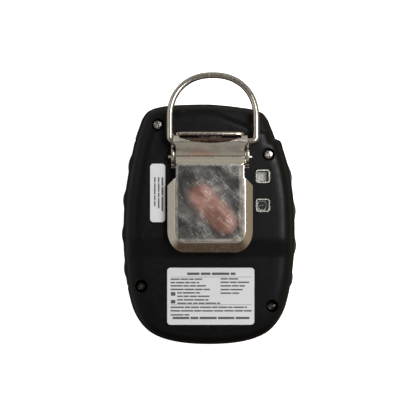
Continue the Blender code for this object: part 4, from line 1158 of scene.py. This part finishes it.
def make_world():
    """A room as the clip mirrors it: dim overhead, lighter to the sides, and darker towards the front."""
    world = bpy.data.worlds.new("studio")
    world.use_nodes = True
    bpy.context.scene.world = world
    sky = Nodes(world.node_tree, "Background")
    way = sky.node("SeparateXYZ", {"Vector": sky.node("TexCoord", {}).outputs["Generated"]}).outputs
    across = sky.mix(sky.ramp(way["X"], -0.5, 0.5), (0.55, 0.53, 0.5), (0.42, 0.35, 0.27))
    sides = sky.mix(sky.ramp(way["Y"], 0.4, 0.85), across, (0.58, 0.55, 0.49))
    sides = sky.mix(sky.ramp(way["Y"], -0.85, -0.4, 1.0, 0.0), sides, (0.1, 0.062, 0.042))
    upper = sky.mix(sky.ramp(way["Z"], 0.3, 0.65), sides, (0.4, 0.39, 0.37))
    overhead = sky.mix(sky.ramp(way["Z"], 0.84, 0.97), upper, (0.09, 0.088, 0.086))
    sky.set(Color=sky.mix(sky.ramp(way["Z"], -0.85, -0.55, 1.0, 0.0), overhead, (0.02, 0.02, 0.02)))


def make_floor():
    """A white floor that is clear from below, so that the front can be seen through it."""
    half, below_part = 3.0, -0.0002
    corners = [(-half, -half), (half, -half), (half, half), (-half, half)]
    mesh = bpy.data.meshes.new("floor")
    mesh.from_pydata([(x, y, below_part) for x, y in corners], [], [[0, 1, 2, 3]])
    white = Finish("floor_white", (0.9, 0.9, 0.9), 0.6)
    below = white.node("NewGeometry", {}).outputs["Backfacing"]
    white.set(Emission_Color=(1.0, 1.0, 1.0, 1.0), Emission_Strength=1.0,
              Alpha=white.math("SUBTRACT", 1.0, below))
    mesh.materials.append(white.material)
    floor = bpy.data.objects.new("floor", mesh)
    bpy.context.scene.collection.objects.link(floor)
    floor.visible_glossy = False
    floor.visible_diffuse = False


def make_warm_card():
    """A small warm card close above the lever, seen only in its mirror."""
    turn = Matrix.Rotation(math.radians(-48), 4, "Z")
    corners = [turn @ Vector((x, y, 0)) for x, y, _ in rounded_rectangle((0.3, 0), (21.0, 8.0), 3.9, 0.0)]
    mesh = bpy.data.meshes.new("warm_card")
    mesh.from_pydata([((c.x + 1.2) * MM, (c.y + 5.4) * MM, 0.0455) for c in corners], [],
                     [list(range(len(corners)))])
    mesh.materials.append(plain("card_brown", (0.3, 0.12, 0.085), 0.9, 0.0, 30.0, 0.01,
                                Emission_Color=(0.38, 0.18, 0.14, 1.0), Emission_Strength=1.0))
    card = bpy.data.objects.new("warm_card", mesh)
    bpy.context.scene.collection.objects.link(card)
    for ray in ("camera", "diffuse", "shadow", "transmission", "volume_scatter"):
        setattr(card, "visible_" + ray, False)


def make_lights():
    centre = (0.0, 0.0, 0.015)
    area_light("key_light", (0.215, 0.11, 0.44), centre, 0.25, 1.5)
    area_light("fill_left", (-0.75, 0.25, 0.6), centre, 0.7, 0.6)


PICTURE_WIDTH = 0.1412  # what the camera takes in across the case, in metres


def make_camera():
    data = bpy.data.cameras.new("camera")
    data.lens = 257.0
    camera = bpy.data.objects.new("camera", data)
    aim = Vector((-0.0033, 0.00844, 0.02))
    distance = PICTURE_WIDTH * data.lens / data.sensor_width
    tilt_x, tilt_y = math.radians(1.3), math.radians(1.6)
    back = Vector((-math.tan(tilt_x), -math.tan(tilt_y), 1.0)).normalized()
    right = Vector((0, 1, 0)).cross(back).normalized()
    turn = Matrix((right, back.cross(right), back)).transposed()
    camera.matrix_world = Matrix.Translation(aim + back * distance) @ turn.to_4x4()
    bpy.context.scene.collection.objects.link(camera)
    bpy.context.scene.camera = camera


def main():
    bpy.context.scene.view_settings.view_transform = "Standard"
    make_camera()
    make_world()
    make_floor()
    make_warm_card()
    make_lights()
    finish_cad_nodes()
    make_rear_cover()
    make_front_cover()
    make_grips()
    make_screws()
    make_labels()
    make_port()
    make_clip_base()
    make_pin()
    make_spring()
    make_clip_lever()
    make_ring()
    make_front_pieces()


main()
